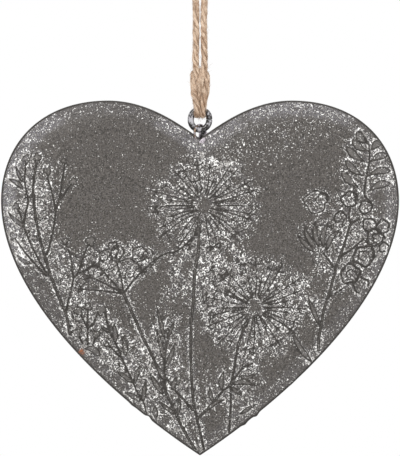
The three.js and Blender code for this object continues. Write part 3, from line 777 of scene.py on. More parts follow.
@dataclass(frozen=True)
class NodeKit:
    """Adds nodes to one tree and links them, from plain calls. A value is a number or a socket."""

    tree: bpy.types.NodeTree

    def fill(self, node: Node, *values: object, **inputs: object) -> Node:
        """Links sockets to a node's inputs, or sets the inputs' own values.

        Args:
            node: The node.
            values: Values for its first inputs, in order.
            inputs: Values by the input's name, with _ for a space.

        Returns:
            The node.
        """
        named_inputs = [(node.inputs[name.replace("_", " ")], value) for name, value in inputs.items()]
        for socket, value in [*zip(node.inputs, values), *named_inputs]:
            if isinstance(value, Socket):
                self.tree.links.new(value, socket)
            elif value is not None:
                socket.default_value = value
        return node

    def add(self, kind: str, *values: object, **inputs: object) -> Node:
        """Adds a node and fills its inputs."""
        return self.fill(self.tree.nodes.new("ShaderNode" + kind), *values, **inputs)

    def math(self, operation: str, *values: object) -> Socket:
        """Adds one step of arithmetic.

        Args:
            operation: Its name.
            values: Its values.

        Returns:
            The result.
        """
        node = self.add("Math", *values)
        node.operation = operation
        return node.outputs[0]

    def times(self, *values: object) -> Socket:
        """Multiplies two or more values."""
        first, *rest = values
        return self.math("MULTIPLY", first, rest[0] if len(rest) == 1 else self.times(*rest))

    def plus(self, *values: object) -> Socket:
        """Adds up two or more values."""
        first, *rest = values
        return self.math("ADD", first, rest[0] if len(rest) == 1 else self.plus(*rest))

    def mix(self, share: object, a: object, b: object) -> Socket:
        """Mixes two colours.

        Args:
            share: How much of the second, 0 to 1.
            a: The first colour.
            b: The second.

        Returns:
            The colour.
        """
        node = self.tree.nodes.new("ShaderNodeMix")
        node.data_type = "RGBA"
        return self.fill(node, share, None, None, None, None, None, a, b).outputs[2]

    def noise(self, vector: Socket, scale: float, detail: float = 2, rough: float = 0.5) -> Socket:
        """Adds a noise with features of about 1/scale metres and gives its value."""
        return self.add("TexNoise", Vector=vector, Scale=scale, Detail=detail, Roughness=rough).outputs[0]

    def range(self, value: Socket, low: float, high: float, to_low: float = 0, to_high: float = 1) -> Socket:
        """Maps one range to another, with nothing past its ends."""
        return self.add("MapRange", value, low, high, to_low, to_high).outputs[0]

    def number(self, name: str) -> Socket:
        """Reads a number stored on the mesh.

        Args:
            name: The number's name.

        Returns:
            The number.
        """
        node = self.tree.nodes.new("ShaderNodeAttribute")
        node.attribute_name = name
        return node.outputs["Fac"]

    def place(self) -> Socket:
        """Gives the object coordinates."""
        return self.tree.nodes.new("ShaderNodeTexCoord").outputs["Object"]

    def bump(self, height: Socket, distance_mm: float, strength: float) -> Socket:
        """Turns a height into a normal."""
        return self.add("Bump", Height=height, Strength=strength, Distance=distance_mm * MM).outputs[0]

    def group(self, build: Callable[[str], bpy.types.NodeTree], *values: object) -> list[Socket]:
        """Places a shared group, which its first use builds.

        Args:
            build: The function that builds it and gives it its name.
            values: Values for its inputs, in order.

        Returns:
            Its outputs.
        """
        name = build.__name__
        node = self.tree.nodes.new("ShaderNodeGroup")
        node.node_tree = bpy.data.node_groups.get(name) or build(name)
        return list(self.fill(node, *values).outputs)


def new_group(name: str, inputs: list[str], outputs: list[str]) -> tuple[NodeKit, list[Socket], Node]:
    """Starts a shader node group.

    Args:
        name: The group's name.
        inputs: Its inputs' names; Coordinates is a vector and the others are numbers.
        outputs: Its outputs' names, all numbers.

    Returns:
        Its kit, what comes in and the node where results go out.
    """
    tree = bpy.data.node_groups.new(name, "ShaderNodeTree")
    for label in inputs:
        kind = "NodeSocketVector" if label == "Coordinates" else "NodeSocketFloat"
        tree.interface.new_socket(label, in_out="INPUT", socket_type=kind)
    for label in outputs:
        tree.interface.new_socket(label, in_out="OUTPUT", socket_type="NodeSocketFloat")
    into = tree.nodes.new("NodeGroupInput")
    return NodeKit(tree), list(into.outputs), tree.nodes.new("NodeGroupOutput")


def rubbed_wash(name: str) -> bpy.types.NodeTree:
    """Builds the whitewash that was brushed on and rubbed off again, leaving flecks.

    Args:
        name: The group's name.

    Returns:
        The group: Coordinates and Cover in; Flecks, Film and the Shade round the flecks out.
    """
    kit, (where, cover, *_), out = new_group(name, ["Coordinates", "Cover"], ["Flecks", "Film", "Shade"])
    uneven = kit.noise(where, 330, 3, 0.6)
    cover = kit.times(cover, kit.range(uneven, 0.3, 0.7, 0.74, 1.12))
    level = kit.plus(kit.noise(where, 1900, 1), kit.times(cover, 0.24))
    flecks = kit.range(level, 0.69, 0.74)
    film = kit.range(kit.plus(uneven, kit.times(cover, 0.7)), 0.75, 1.35)
    shade = kit.times(kit.range(level, 0.56, 0.66), kit.range(cover, 0.1, 0.5))
    shade = kit.times(shade, kit.math("SUBTRACT", 1, flecks))
    kit.fill(out, flecks, film, shade)
    return kit.tree


def metal_grain(name: str) -> bpy.types.NodeTree:
    """Builds the fine mottling of worn metal.

    Args:
        name: The group's name.

    Returns:
        The group: Coordinates in, Mottle and Specks out.
    """
    kit, (where, *_), out = new_group(name, ["Coordinates"], ["Mottle", "Specks"])
    mottle = kit.range(kit.noise(where, 2000, 2, 0.6), 0.34, 0.66)
    kit.fill(out, mottle, kit.range(kit.noise(where, 2600, 1), 0.6, 0.72))
    return kit.tree


def new_material(name: str) -> tuple[Material, NodeKit, Node]:
    """Starts a material.

    Args:
        name: Its name.

    Returns:
        The material, its kit and its surface shader.
    """
    material = bpy.data.materials.new(name)
    material.use_nodes = True
    return material, NodeKit(material.node_tree), material.node_tree.nodes["Principled BSDF"]


@dataclass(frozen=True)
class IronFinish:
    """Dark zinc-grey patina with whitewash rubbed into the relief; painted shade along the raised strokes,
    round the flecks and at the notch, and a darker outer edge.
    """

    dark: Colour = (0.026, 0.023, 0.02, 1)
    light: Colour = (0.127, 0.115, 0.105, 1)
    # The dark colour of the painted shade, also used for the darker outer edge.
    hollow: Colour = (0.022, 0.019, 0.016, 1)
    film: Colour = (0.3, 0.29, 0.315, 1)
    fleck_dull: Colour = (0.33, 0.315, 0.3, 1)
    fleck_bright: Colour = (1, 0.99, 0.97, 1)
    leaf_sheen: Colour = (0.2, 0.19, 0.18, 1)
    rust: Colour = (0.32, 0.105, 0.035, 1)
    beside_plants: float = 0.56

    def make(self, name: str) -> Material:
        """Builds the finish.

        Args:
            name: The material's name.

        Returns:
            The material, which reads the mesh's wash, film, beside, inset and rust numbers.
        """
        material, kit, shader = new_material(name)
        where, beside, zone = kit.place(), kit.number("beside"), kit.number("wash")
        flank = kit.math("POWER", kit.range(beside, 0.05, 2.1, 1, 0), 1.5)
        flanked = kit.plus(kit.times(zone, 0.5), self.beside_plants)
        washed = kit.plus(kit.times(flank, flanked), kit.times(zone, 0.6))
        washed = kit.times(washed, kit.range(beside, -0.15, 0.1, 0.3, 1))
        flecks, haze, shade = kit.group(rubbed_wash, where, washed)
        mottle, specks = kit.group(metal_grain, where)
        # Painted shade: a dark outline along each raised stroke's edge, filling the narrowest strokes, broken
        # by noise.
        line = kit.times(kit.range(beside, 0.12, -0.12), kit.range(beside, -0.3, -0.65, 1, 0),
                         kit.range(kit.noise(where, 1100), 0.36, 0.52, 0.5, 1))
        # The inset number adds a darker outer edge, left off round the notch, and the painted shadow spot at
        # the notch.
        dark = kit.math("MAXIMUM", line, kit.range(kit.number("inset"), 0.45, 1.05, 1, 0))
        off_dark_lines = kit.math("SUBTRACT", 1, dark)
        flecks = kit.times(flecks, off_dark_lines)
        clinging = kit.range(kit.noise(where, 1300, 2, 0.6), 0.38, 0.62, 0.15, 1)
        film = kit.plus(kit.times(haze, 0.4), kit.times(kit.number("film"), clinging, 0.9))
        film = kit.times(film, off_dark_lines)
        fleck = kit.mix(kit.range(kit.noise(where, 700, 1), 0.42, 0.66), self.fleck_dull, self.fleck_bright)
        rust = kit.times(kit.number("rust"), kit.range(kit.noise(where, 900), 0.35, 0.6))
        colour = kit.mix(mottle, self.dark, self.light)
        for share, over in (
            (kit.range(beside, -0.35, -0.8, 0, 0.35), self.leaf_sheen),
            (film, self.film),
            (kit.times(specks, 0.25), self.film),
            (kit.times(kit.math("MAXIMUM", dark, shade), 0.9), self.hollow),
            (flecks, fleck),
            (rust, self.rust),
        ):
            colour = kit.mix(share, colour, over)
        rough = kit.range(kit.plus(flecks, film), 0, 1, 0.56, 0.85)
        height = kit.plus(kit.times(flecks, 0.6), kit.noise(where, 2600))
        kit.fill(shader, Base_Color=colour, Metallic=0.15, Specular_IOR_Level=0.3, Roughness=rough,
                 Normal=kit.bump(height, 0.06, 0.6))
        return material


@dataclass(frozen=True)
class WireFinish:
    """Bent wire with worn plating."""

    plain: Colour
    worn: Colour

    def make(self, name: str) -> Material:
        """Builds the finish.

        Args:
            name: The material's name.

        Returns:
            The material.
        """
        material, kit, shader = new_material(name)
        where = kit.place()
        specks = kit.group(metal_grain, where)[1]
        patched = kit.range(kit.noise(where, 620, 3, 0.6), 0.46, 0.58)
        colour = kit.mix(kit.times(specks, 0.5), kit.mix(patched, self.plain, self.worn), self.worn)
        kit.fill(shader, Base_Color=colour, Metallic=0.85, Roughness=kit.range(patched, 0, 1, 0.3, 0.58),
                 Normal=kit.bump(kit.noise(where, 1500, 3), 0.05, 0.5))
        return material


@dataclass(frozen=True)
class JuteFinish:
    """Natural jute: pale fibres, with brown painted shade in the grooves between the plies."""

    pale: Colour = (0.76, 0.6, 0.46, 1)
    tan: Colour = (0.36, 0.22, 0.135, 1)
    hollow: Colour = (0.13, 0.068, 0.036, 1)
    streak: Colour = (0.19, 0.1, 0.052, 1)

    def make(self, name: str) -> Material:
        """Builds the finish.

        Args:
            name: The material's name.

        Returns:
            The material, which reads the mesh's numbers for painted shade and tone, and its place along and
            round the strand.
        """
        material, kit, shader = new_material(name)
        where = kit.place()
        lay = kit.add("CombineXYZ", *(kit.number(name) for name in ("round_x", "round_y", "along")))
        fibres = kit.noise(lay.outputs[0], 2.6, 3, 0.6)
        tone = kit.range(kit.plus(fibres, kit.times(kit.noise(where, 420), 0.5)), 0.62, 0.84)
        stained = kit.range(kit.noise(where, 170, 1), 0.5, 0.66)
        stained = kit.times(stained, kit.range(fibres, 0.54, 0.42, 0, 0.75))
        colour = kit.mix(stained, kit.mix(tone, self.tan, self.pale), self.streak)
        kit.fill(shader, Base_Color=kit.mix(kit.number("hollow"), colour, self.hollow), Roughness=0.85,
                 Specular_IOR_Level=0.25, Normal=kit.bump(fibres, 0.12, 0.8))
        return material


@dataclass(frozen=True)
class SolderFinish:
    """A dull pinkish-grey smear of solder."""

    dull: Colour = (0.24, 0.21, 0.23, 1)
    bright: Colour = (0.62, 0.57, 0.62, 1)
    # Near-black painted shadow in the pit between the wires.
    pit: Colour = (0.005, 0.004, 0.004, 1)

    def make(self, name: str) -> Material:
        """Builds the finish.

        Args:
            name: The material's name.

        Returns:
            The material, which reads the mesh's number for the pit's painted shadow.
        """
        material, kit, shader = new_material(name)
        patched = kit.noise(kit.place(), 1300, 3)
        colour = kit.mix(kit.range(patched, 0.4, 0.6), self.dull, self.bright)
        kit.fill(shader, Base_Color=kit.mix(kit.number("pit"), colour, self.pit), Metallic=0.4,
                 Roughness=kit.range(patched, 0.3, 0.7, 0.35, 0.6), Normal=kit.bump(patched, 0.15, 0.7))
        return material


@dataclass(frozen=True)
class PressedSheet:
    """One shell of the heart: a pressed face with its turned edge and its inner wall."""

    form: HeartForm
    tip_z: float
    sheet: float
    side: int
    rise: float
    dome: tuple[float, float, float]
    waves: float
    foot: float
    pitch: float
    face_inset: float
    edge: tuple[tuple[float, float], ...]
    inner_insets: tuple[float, ...]
    inner_shares: tuple[float, ...] = (0.3, 0.62, 0.999)
    inner_wall: float = 1.25
    flat_rim: float = 8
    evened_cells: int = 3
    evening_rounds: int = 6
    weld_within: float = 0.004
    sharp_deg: float = 50

    def face(self, x: Array, z: Array, sunk: float = 0.0) -> Array:
        """Gives the depth of the plain pressed face, with the slight waves of hand-pressed sheet.

        Args:
            x: The points across.
            z: Their heights above the tip.
            sunk: How far inside the face the depth is asked.

        Returns:
            The depths.
        """
        inset, height = self.form.dome(x, z, self.foot, self.dome)
        wave = np.sin(0.21 * x + 0.13 * z) + np.sin(0.17 * z - 0.11 * x + 1.7)
        wave *= self.waves * np.clip(inset / self.flat_rim, 0, 1)
        return self.side * (self.rise + height + wave - sunk)

    def grid(self, name: str) -> Piece:
        """Cuts a fine flat grid to the face's outline.

        Args:
            name: The piece's name.

        Returns:
            The flat piece, in the rim's plane.
        """
        columns, rows = (round(size / self.pitch) + 2 for size in (self.form.width, self.form.height))
        pick()
        bpy.ops.mesh.primitive_grid_add(x_subdivisions=columns, y_subdivisions=rows, size=2 * MM)
        sheet, half = named(name), self.pitch / 2
        x, z, level = coordinates(sheet).T
        move_points(sheet, np.column_stack([x * columns * half, level, (z + 1) * rows * half - self.pitch]))
        delete_faces(sheet, self.beyond)
        return sheet

    def beyond(self, middles: Array) -> Array:
        """Tells which places lie outside the face's outline.

        Args:
            middles: The places, three columns.

        Returns:
            True or false for each.
        """
        flat = middles[:, [0, 2]]
        foot, inwards = self.form.on_edge(*flat.T)
        return self.form.from_centre(flat) > self.form.from_centre(foot + inwards * self.face_inset)

    def fit_edge(self, sheet: Piece) -> None:
        """Draws the grid's stepped edge out to the outline and evens the cells beside it.

        Args:
            sheet: The cut grid.
        """
        with editing(sheet, "EDGE") as shell:
            rim = [vertex.index for vertex in shell.verts if vertex.is_boundary]
            first, last = np.array([[vertex.index for vertex in edge.verts] for edge in shell.edges]).T
        points = coordinates(sheet)
        foot, inwards = self.form.on_edge(points[rim, 0], points[rim, 2])
        points[rim, 0], points[rim, 2] = (foot + inwards * self.face_inset).T
        inset = self.form.to_half(np.abs(points[:, 0]), points[:, 2])
        loose = inset < self.face_inset + self.evened_cells * self.pitch
        loose[rim] = False
        for _ in range(self.evening_rounds):
            total, count = np.zeros_like(points), np.zeros((len(points), 1))
            for a, b in ((first, last), (last, first)):
                np.add.at(total, a, points[b])
                np.add.at(count, a, 1)
            points[loose] = (total / count)[loose]
        points[:, 1] = self.face(points[:, 0], points[:, 2])
        move_points(sheet, points)

    def build(self, name: str) -> Piece:
        """Makes the whole shell, its edge turned round the rim and its inner wall closed.

        Args:
            name: The piece's name.

        Returns:
            The closed piece, its tip at the origin's height.
        """
        sheet = self.grid(name)
        self.fit_edge(sheet)
        rings = [(inset, 0.0, depth) for inset, depth in self.edge]
        rings += [(inset, 0.0, None) for inset in self.inner_insets]
        rings += [(self.inner_insets[-1], share, None) for share in self.inner_shares]
        with editing(sheet, "EDGE"):
            select_open_edges()
            for inset, share, depth in rings:
                bpy.ops.mesh.extrude_region_move()
                new = [vertex for vertex in bmesh.from_edit_mesh(sheet.data).verts if vertex.select]
                foot, inwards = self.form.on_edge(*np.array([vertex.co for vertex in new])[:, [0, 2]].T / MM)
                flat = foot + inwards * inset
                flat += ((0, self.form.centre_height) - flat) * share
                inner = self.face(*flat.T, self.inner_wall * self.sheet)
                level = inner if depth is None else np.full(len(new), depth)
                for vertex, (x, z), y in zip(new, flat * MM, level * MM):
                    vertex.co = (x, y, z)
                bmesh.update_edit_mesh(sheet.data)
            bpy.ops.mesh.merge(type="CENTER")
            bpy.ops.mesh.select_all(action="SELECT")
            bpy.ops.mesh.remove_doubles(threshold=self.weld_within * MM)
            face_outward()
        return sheet

    def finish(self, shell: Piece, points: Array, **numbers: Array) -> Piece:
        """Hangs the shell in its real place, with the numbers that its finish reads.

        Args:
            shell: The shell.
            points: Its final points, from the tip.
            numbers: Numbers per point, by name.

        Returns:
            The shell.
        """
        move_points(shell, points + (0, 0, self.tip_z))
        store(shell, **numbers)
        smooth_by_angle(shell, self.sharp_deg)
        return shell


@dataclass
class Heart:
    """The two shells, their eye and its solder."""

    sheet: float = 0.6
    clearance: float = 0.3
    hem: float = 2.4
    edge_roll: float = 0.45
    edge_turns_deg: tuple[float, ...] = (-60, -30, 0, 30, 60, 90)
    front_dome: tuple[float, float, float] = (3.4, 11, 1.8)
    back_dome: tuple[float, float, float] = (2.6, 10, 1.4)
    front_waves: float = 0.05
    ridge_height: float = 0.5
    ridges_from: float = 0.6
    ridges_full_within: float = 1.2
    beside_reach: float = 6
    front_face_inset: float = 0.9
    front_pitch: float = 0.43
    back_pitch: float = 1.1
    eye_radius: float = 3.4
    eye_settled: float = 0.4
    ring_clear: float = 4.65
    rust_place: tuple[float, float] = (-44.5, 39.2)
    rust_radius: float = 0.9
    # Spreads of the gap in the darker outer edge round the notch and of the painted shadow spot there.
    soot_spread: float = 16
    hole_spread: float = 0.4
    nick_spread: float = 1.3
    back_dust: float = 0.6
    # The pit in the solder: its groove's depth and the half width of the pit and its painted shadow.
    pit_depth: float = 0.4
    pit_half: float = 0.85
    hem_nicks: Rows = (
        (21.1, 15.6, 0.6), (17.1, 11.9, 0.45), (-19.4, 14.2, -0.6), (-25.3, 19.5, 0.25), (34, 28, 0.22),
    )
    meadow: Meadow = field(default_factory=lambda: Meadow().grow())
    whitewash: Whitewash = field(default_factory=Whitewash)

    def __post_init__(self) -> None:
        """Takes the size and place of the heart from the frame."""
        self.low, high = node_box("front_shell")
        self.form = HeartForm(high[0] - self.low[0], high[2] - self.low[2])
        self.rim_half = high[1]

    def make_front(self) -> Piece:
        """Builds the embossed front shell.

        Returns:
            The piece, with the numbers that its finish reads.
        """
        rim, inside = self.rim_half, self.rim_half - self.sheet
        turns = heading(np.radians(self.edge_turns_deg))
        shell = PressedSheet(
            self.form, self.low[2], self.sheet, side=-1, rise=rim, dome=self.front_dome,
            waves=self.front_waves, foot=0, pitch=self.front_pitch, face_inset=self.front_face_inset,
            edge=((self.edge_roll, -rim), *((self.edge_roll * (1 - cos), rim * sin) for cos, sin in turns),
                  (self.hem, rim), (self.hem, inside), (self.sheet, inside), (self.sheet, -inside)),
            inner_insets=(2.4, 4, 6.6, self.front_dome[1]),
        )
        front = shell.build("front_shell_pressed")
        points = coordinates(front)
        x, y, z = points.T
        outer = y < shell.face(x, z) + 0.3
        raised, beside = self.meadow.press(x, z, self.beside_reach)
        inset = self.form.to_half(np.abs(x), z)
        raised *= outer * np.clip((inset - self.ridges_from) / self.ridges_full_within, 0, 1)
        points[:, 1] -= self.ridge_height * raised
        _, inwards = self.form.on_edge(x, z)
        for nick_x, nick_z, out in self.hem_nicks:
            near = np.exp(-(((x - nick_x) ** 2 + (z - nick_z) ** 2) / self.nick_spread)) * (inset < 2)
            points[:, [0, 2]] -= inwards * (out * near)[:, None]
        ground, film = self.whitewash.cover(self.form.to_half(np.abs(x), z), x, z)
        # A painted shadow spot at the notch where the eye enters, and a gap in the darker outer edge round
        # the notch.
        z_notch = z - self.form.notch_height
        pit = np.exp(-((x - 0.35) ** 2 + (z_notch - 0.1) ** 2) / self.hole_spread)
        edge_line_gap = np.exp(-(x**2 + z_notch**2) / self.soot_spread)
        from_rust = np.hypot(x - self.rust_place[0], z - self.rust_place[1])
        return shell.finish(
            front, points, wash=ground * outer, film=film * outer,
            beside=np.where(outer, np.clip(beside, -1, 3), 3),
            inset=np.clip(inset + 4 * edge_line_gap - 9 * pit, 0, 3),
            rust=np.clip(1.6 - from_rust / self.rust_radius, 0, 1) * outer,
        )

    def make_back(self) -> Piece:
        """Builds the plain back shell.

        Returns:
            The piece, with the numbers that its finish reads.
        """
        foot, lip, half = self.hem + self.clearance, self.sheet + self.clearance, self.sheet / 2
        shell = PressedSheet(
            self.form, self.low[2], self.sheet, side=1, rise=half, dome=self.back_dome, waves=0, foot=foot,
            pitch=self.back_pitch, face_inset=foot, edge=((lip, half), (lip, -half), (foot + 0.4, -half)),
            inner_insets=(foot + 2.2, foot + 3.6, foot + 6, foot + self.back_dome[1]),
        )
        back = shell.build("back_shell_pressed")
        points = coordinates(back)
        inset = self.form.to_half(np.abs(points[:, 0]), points[:, 2])
        blank = np.zeros(len(points))
        return shell.finish(back, points, wash=self.back_dust * np.clip(1.4 - inset / 5, 0, 1),
                            film=blank, beside=blank + 3, inset=blank + 3, rust=blank)

    def make_eye(self) -> Piece:
        """Builds the closed wire loop through the shells.

        Returns:
            The piece.
        """
        low, high = node_box("hanging_eye")
        wire = high[2] - low[2] - 2 * self.eye_radius
        turn = math.acos(min(1, (high[1] - low[1] - wire) / (2 * self.eye_radius)))
        pick()
        bpy.ops.mesh.primitive_torus_add(
            major_segments=72, minor_segments=20, major_radius=(self.eye_radius - self.eye_settled / 2) * MM,
            minor_radius=wire / 2 * MM, rotation=(0, math.pi / 2, 0),
        )
        eye = named("eye_wire_loop")
        bpy.ops.object.transform_apply(location=False, rotation=True, scale=False)
        middle = (low + high) / 2 - (0, 0, self.eye_settled / 2)
        eye.data.transform(Matrix.Translation(Vector(middle) * MM) @ Matrix.Rotation(-turn, 4, "Z"))
        eye.data.shade_smooth()
        return eye

    def make_solder(self) -> Piece:
        """Builds the solder under the ring: a lump that closes the eye, and a smear on the front.

        Returns:
            The piece, with the number that paints shadow into the pit between the wires.
        """
        notch = self.low[2] + self.form.notch_height
        lump = self.drop((1.75, 0.8, 2.0), -8, (1.2, 0.1, notch + 0.9), 5)
        smear = self.drop((1.5, 0.62, 1.05), 52, (1.15, -self.rim_half - 0.75, notch - 1.2), 4)
        p = coordinates(lump)
        swing_z = next(j for j in frame["joints"] if j["name"] == "heart_swing")["pos_m"][2] / MM
        pushed = np.maximum(1, self.ring_clear / np.hypot(p[:, 0], p[:, 2] - swing_z))
        p[:, 0] *= pushed
        p[:, 2] = swing_z + (p[:, 2] - swing_z) * pushed
        across = p[:, 0] - 0.6 - 0.33 * (p[:, 2] - notch - 0.5)
        pit = np.clip(1.6 - np.abs(across) / self.pit_half, 0, 1) * (p[:, 1] < 0.3)
        p[:, 1] += self.pit_depth * pit
        move_points(lump, p)
        store(lump, pit=pit)
        store(smear, pit=np.zeros(len(smear.data.vertices)))
        solder = joined("eye_solder", lump, smear)
        solder.data.shade_smooth()
        return solder

    @staticmethod
    def drop(size: tuple[float, float, float], lean_deg: float, place: tuple[float, float, float],
             fineness: int) -> Piece:
        """Makes one lumpy drop of solder.

        Args:
            size: Its half length, half depth and half height.
            lean_deg: How far it leans in the heart's plane.
            place: Its middle.
            fineness: How finely it is divided.

        Returns:
            The drop.
        """
        pick()
        bpy.ops.mesh.primitive_ico_sphere_add(subdivisions=fineness, radius=MM)
        blob = named("solder_drop")
        x, y, z = coordinates(blob).T
        lumps = 1 + 0.16 * np.sin(3.1 * x + 1) * np.cos(4.3 * z) + 0.1 * np.sin(6 * y + 2)
        x, y, z = np.array([x, y, z]) * lumps * np.array(size)[:, None]
        cos, sin = heading(math.radians(lean_deg))
        move_points(blob, np.column_stack([x * cos - z * sin, y, x * sin + z * cos]) + place)
        return blob


@dataclass
class Ring:
    """The wire ring between the twine and the eye, its ends butted at the right."""

    gap: float = 0.08
    segments: int = 96
    end_round: float = 0.22
    sharp_deg: float = 40

    def make(self) -> Piece:
        """Builds the ring.

        Returns:
            The piece.
        """
        low, high = node_box("hanging_ring")
        wide, wire, tall = high - low
        radius, straight, step = (wide - wire) / 2, tall - wide, TURN / self.segments
        pick()
        bpy.ops.mesh.primitive_torus_add(
            major_segments=self.segments, minor_segments=24, major_radius=radius * MM,
            minor_radius=wire / 2 * MM, rotation=(math.pi / 2, 0, 0),
        )
        ring = named("ring_wire")
        bpy.ops.object.transform_apply(location=False, rotation=True, scale=False)
        ring.data.transform(Matrix.Rotation(step / 2, 4, "Y"))
        delete_faces(ring, lambda middles: np.abs(np.arctan2(middles[:, 2], middles[:, 0])) < step / 4)
        points = coordinates(ring)
        below = points[:, 2] < 0
        end = np.abs(np.arctan2(points[:, 2], points[:, 0])) < step
        points[below & ~end, 2] -= straight
        points[end, 2] = -straight / 2 + np.where(below[end], -0.5, 0.5) * self.gap
        move_points(ring, points + (0, 0, high[2] - wire / 2 - radius))
        with editing(ring, "EDGE"):
            select_open_edges()
            bpy.ops.mesh.fill_holes(sides=0)
            bpy.ops.mesh.bevel(offset=self.end_round * MM, segments=3, affect="EDGES")
            face_outward()
        smooth_by_angle(ring, self.sharp_deg)
        return ring


@dataclass
class Twine:
    """The three-ply jute: one loop hitched round the ring, its ends knotted over the hook."""

    diameter: float = 2.2
    lay: float = 13
    fullness: float = 1.13
    around: int = 30
    ply_from_middle: float = 0.18
    ply_radius: float = 0.32
    uneven_every: float = 2.6
    lay_wander: float = 0.4
    ply_swell: float = 0.07
    roughness: float = 0.014
    fibre_grain: float = 3.2
    fibre_length: float = 0.14
    knot_width: float = 1.9
    knot_fray: float = 0.25
    knot_strands_apart: float = 0.55
    point_step: float = 0.3
    pinch_reach: float = 5
    pinch_wide: float = 0.1
    squeeze_below: float = 17
    squeeze_over: float = 4
    squeeze_thin: float = 0.2
    squeeze_narrow: float = 0.06
    spread: float = 0.24
    spread_height: float = 7.5
    spread_reach: float = 3.2
    left: Rows = (
        (-1.3, 0, 52), (-1.3, 0, 51.5), (-2, 0, 50.2), (-2.75, 0, 48.3), (-2.25, 0, 45), (-1.65, 0, 41.5),
        (-1.45, -0.05, 36), (-1.45, -0.1, 30), (-1.55, -0.25, 24), (-1.65, -0.45, 19), (-1.55, -0.5, 15.4),
        (-0.98, -0.2, 12.2), (-0.9, 0.7, 9.2), (-0.9, 1.6, 5.6), (-0.95, 2.35, 2.5), (-0.95, 2.5, 0),
        (-0.95, 1.77, -1.77), (-0.95, 0, -2.5), (-0.95, -1.77, -1.77), (-1.05, -2.5, 0), (-1.4, -2.4, 2.8),
        (-1.95, -1.9, 5.5), (-2.35, -1.1, 8.6), (-2.6, 0.2, 11.6), (-2.3, 1.6, 13.6), (-1.2, 2.3, 14.3),
    )
    top: tuple[float, float, float] = (0, 2.45, 14.5)
    seed: int = 11

    def __post_init__(self) -> None:
        """Takes the height of the ring's top wire from the frame."""
        low, high = node_box("hanging_ring")
        self.ring_top = high[2] - (high[1] - low[1]) / 2

    def route(self) -> Array:
        """Gives the whole route, from the knot down the left leg and up the right one."""
        right = [(-x, y, z) for x, y, z in reversed(self.left)]
        return evenly(spline([*self.left, self.top, *right], 10), self.point_step) + (0, 0, self.ring_top)

    def strand(self, name: str, line: Array, wide: Array, thick: Array, twist: float = 0.0) -> Piece:
        """Lays three plies along a line.

        Args:
            name: The piece's name.
            line: The line's points.
            wide: The strand's width at each point.
            thick: Its thickness at each point.
            twist: The plies' turn at the start, in radians.

        Returns:
            The piece, with its fibre numbers.
        """
        _, side, normal = carried_frames(line)
        along = distances(line)
        angle = np.linspace(0, TURN, self.around, endpoint=False)[None]
        draw = np.random.default_rng(self.seed + len(line))
        knots = np.arange(0, along[-1] + 8, self.uneven_every)
        uneven = [np.interp(along, knots, draw.normal(0, 1, len(knots)))[:, None] for _ in range(4)]
        along = along[:, None]
        turn = twist - TURN * along / self.lay + self.lay_wander * uneven[3]
        past = np.mod(angle - turn + math.pi / 3, TURN)
        off = np.mod(past, TURN / 3) - math.pi / 3
        reach = self.ply_from_middle * np.cos(off)
        reach = 2 * (reach + np.sqrt(self.ply_radius**2 - (self.ply_from_middle * np.sin(off)) ** 2))
        owner = np.minimum(past // (TURN / 3), 2).astype(int)
        swell = np.clip(np.hstack(uneven[:3]), -1.6, 1.6)
        reach *= 1 + self.ply_swell * np.take_along_axis(swell, owner, axis=1)
        reach *= 1 + draw.normal(0, self.roughness, reach.shape)
        across = (reach * np.cos(angle) * wide[:, None] / 2)[..., None] * side[:, None]
        through = (reach * np.sin(angle) * thick[:, None] / 2)[..., None] * normal[:, None]
        # Painted shade: the grooves between the plies darken, unevenly along the strand.
        hollow = np.clip((np.abs(off) - 0.6) / 0.4, 0, 1) * np.clip(0.7 + 0.3 * uneven[3], 0.15, 1)
        round_x, round_y = self.fibre_grain * np.moveaxis(heading(angle - turn + 0.2 * along), -1, 0)
        strand = skin(name, (line[:, None] + across + through)[None], hollow=hollow, round_x=round_x,
                      round_y=round_y, along=self.fibre_length * along + 0 * reach)
        strand.data.shade_smooth()
        return strand

    def make_loop(self) -> tuple[Piece, Array]:
        """Builds the loop of twine.

        Returns:
            The piece and its centre line.
        """
        line = self.route()
        height = line[:, 2] - self.ring_top
        pinch = np.clip(1.4 - np.abs(height) / self.pinch_reach, 0, 1)
        squeeze = np.clip((self.squeeze_below - height) / self.squeeze_over, 0, 1)
        full = self.diameter * (self.fullness - (self.fullness - 1) * pinch)
        spread = self.spread * np.exp(-(((height - self.spread_height) / self.spread_reach) ** 2))
        wide = full * (1 - self.squeeze_narrow * squeeze + self.pinch_wide * pinch + spread)
        thick = full * (1 - self.squeeze_thin * squeeze - self.pinch_wide * pinch)
        return self.strand("twine_loop", line, wide, thick), line

    def make_knot(self) -> Piece:
        """Builds the overhand knot of both ends, tied over the hook, with its cut tails.

        Returns:
            The piece.
        """
        low, high = (corner[2] for corner in node_box("twine_knot"))
        body = 0.44 * (high - low)
        t = np.linspace(-2.02, 2.02, 90)
        loop = np.column_stack([t**3 - 3 * t, t**4 - 4 * t**2 + 2, t**5 - 10 * t])
        loop = loop * (0.62, 0.42, body / 24) + (0, 0, low + body / 2)
        _, across, _ = carried_frames(loop)
        parts = []
        for number, side in enumerate((-1, 1)):
            middle = loop + side * self.knot_strands_apart * self.knot_width * across
            tail = [(side * 1.6, -0.3, high - 3), (side * 2.5, -0.6, high - 0.6)]
            route = spline([(side * 1.3, 0, low - 0.5), *middle[8:-8:6], *tail], 6)
            line = evenly(route, self.point_step)
            size = self.knot_width * (1 + self.knot_fray * np.linspace(0, 1, len(line)) ** 12)
            parts.append(self.strand(f"knot_strand_{number}", line, size, size, number))
        return joined("twine_overhand_knot", *parts)


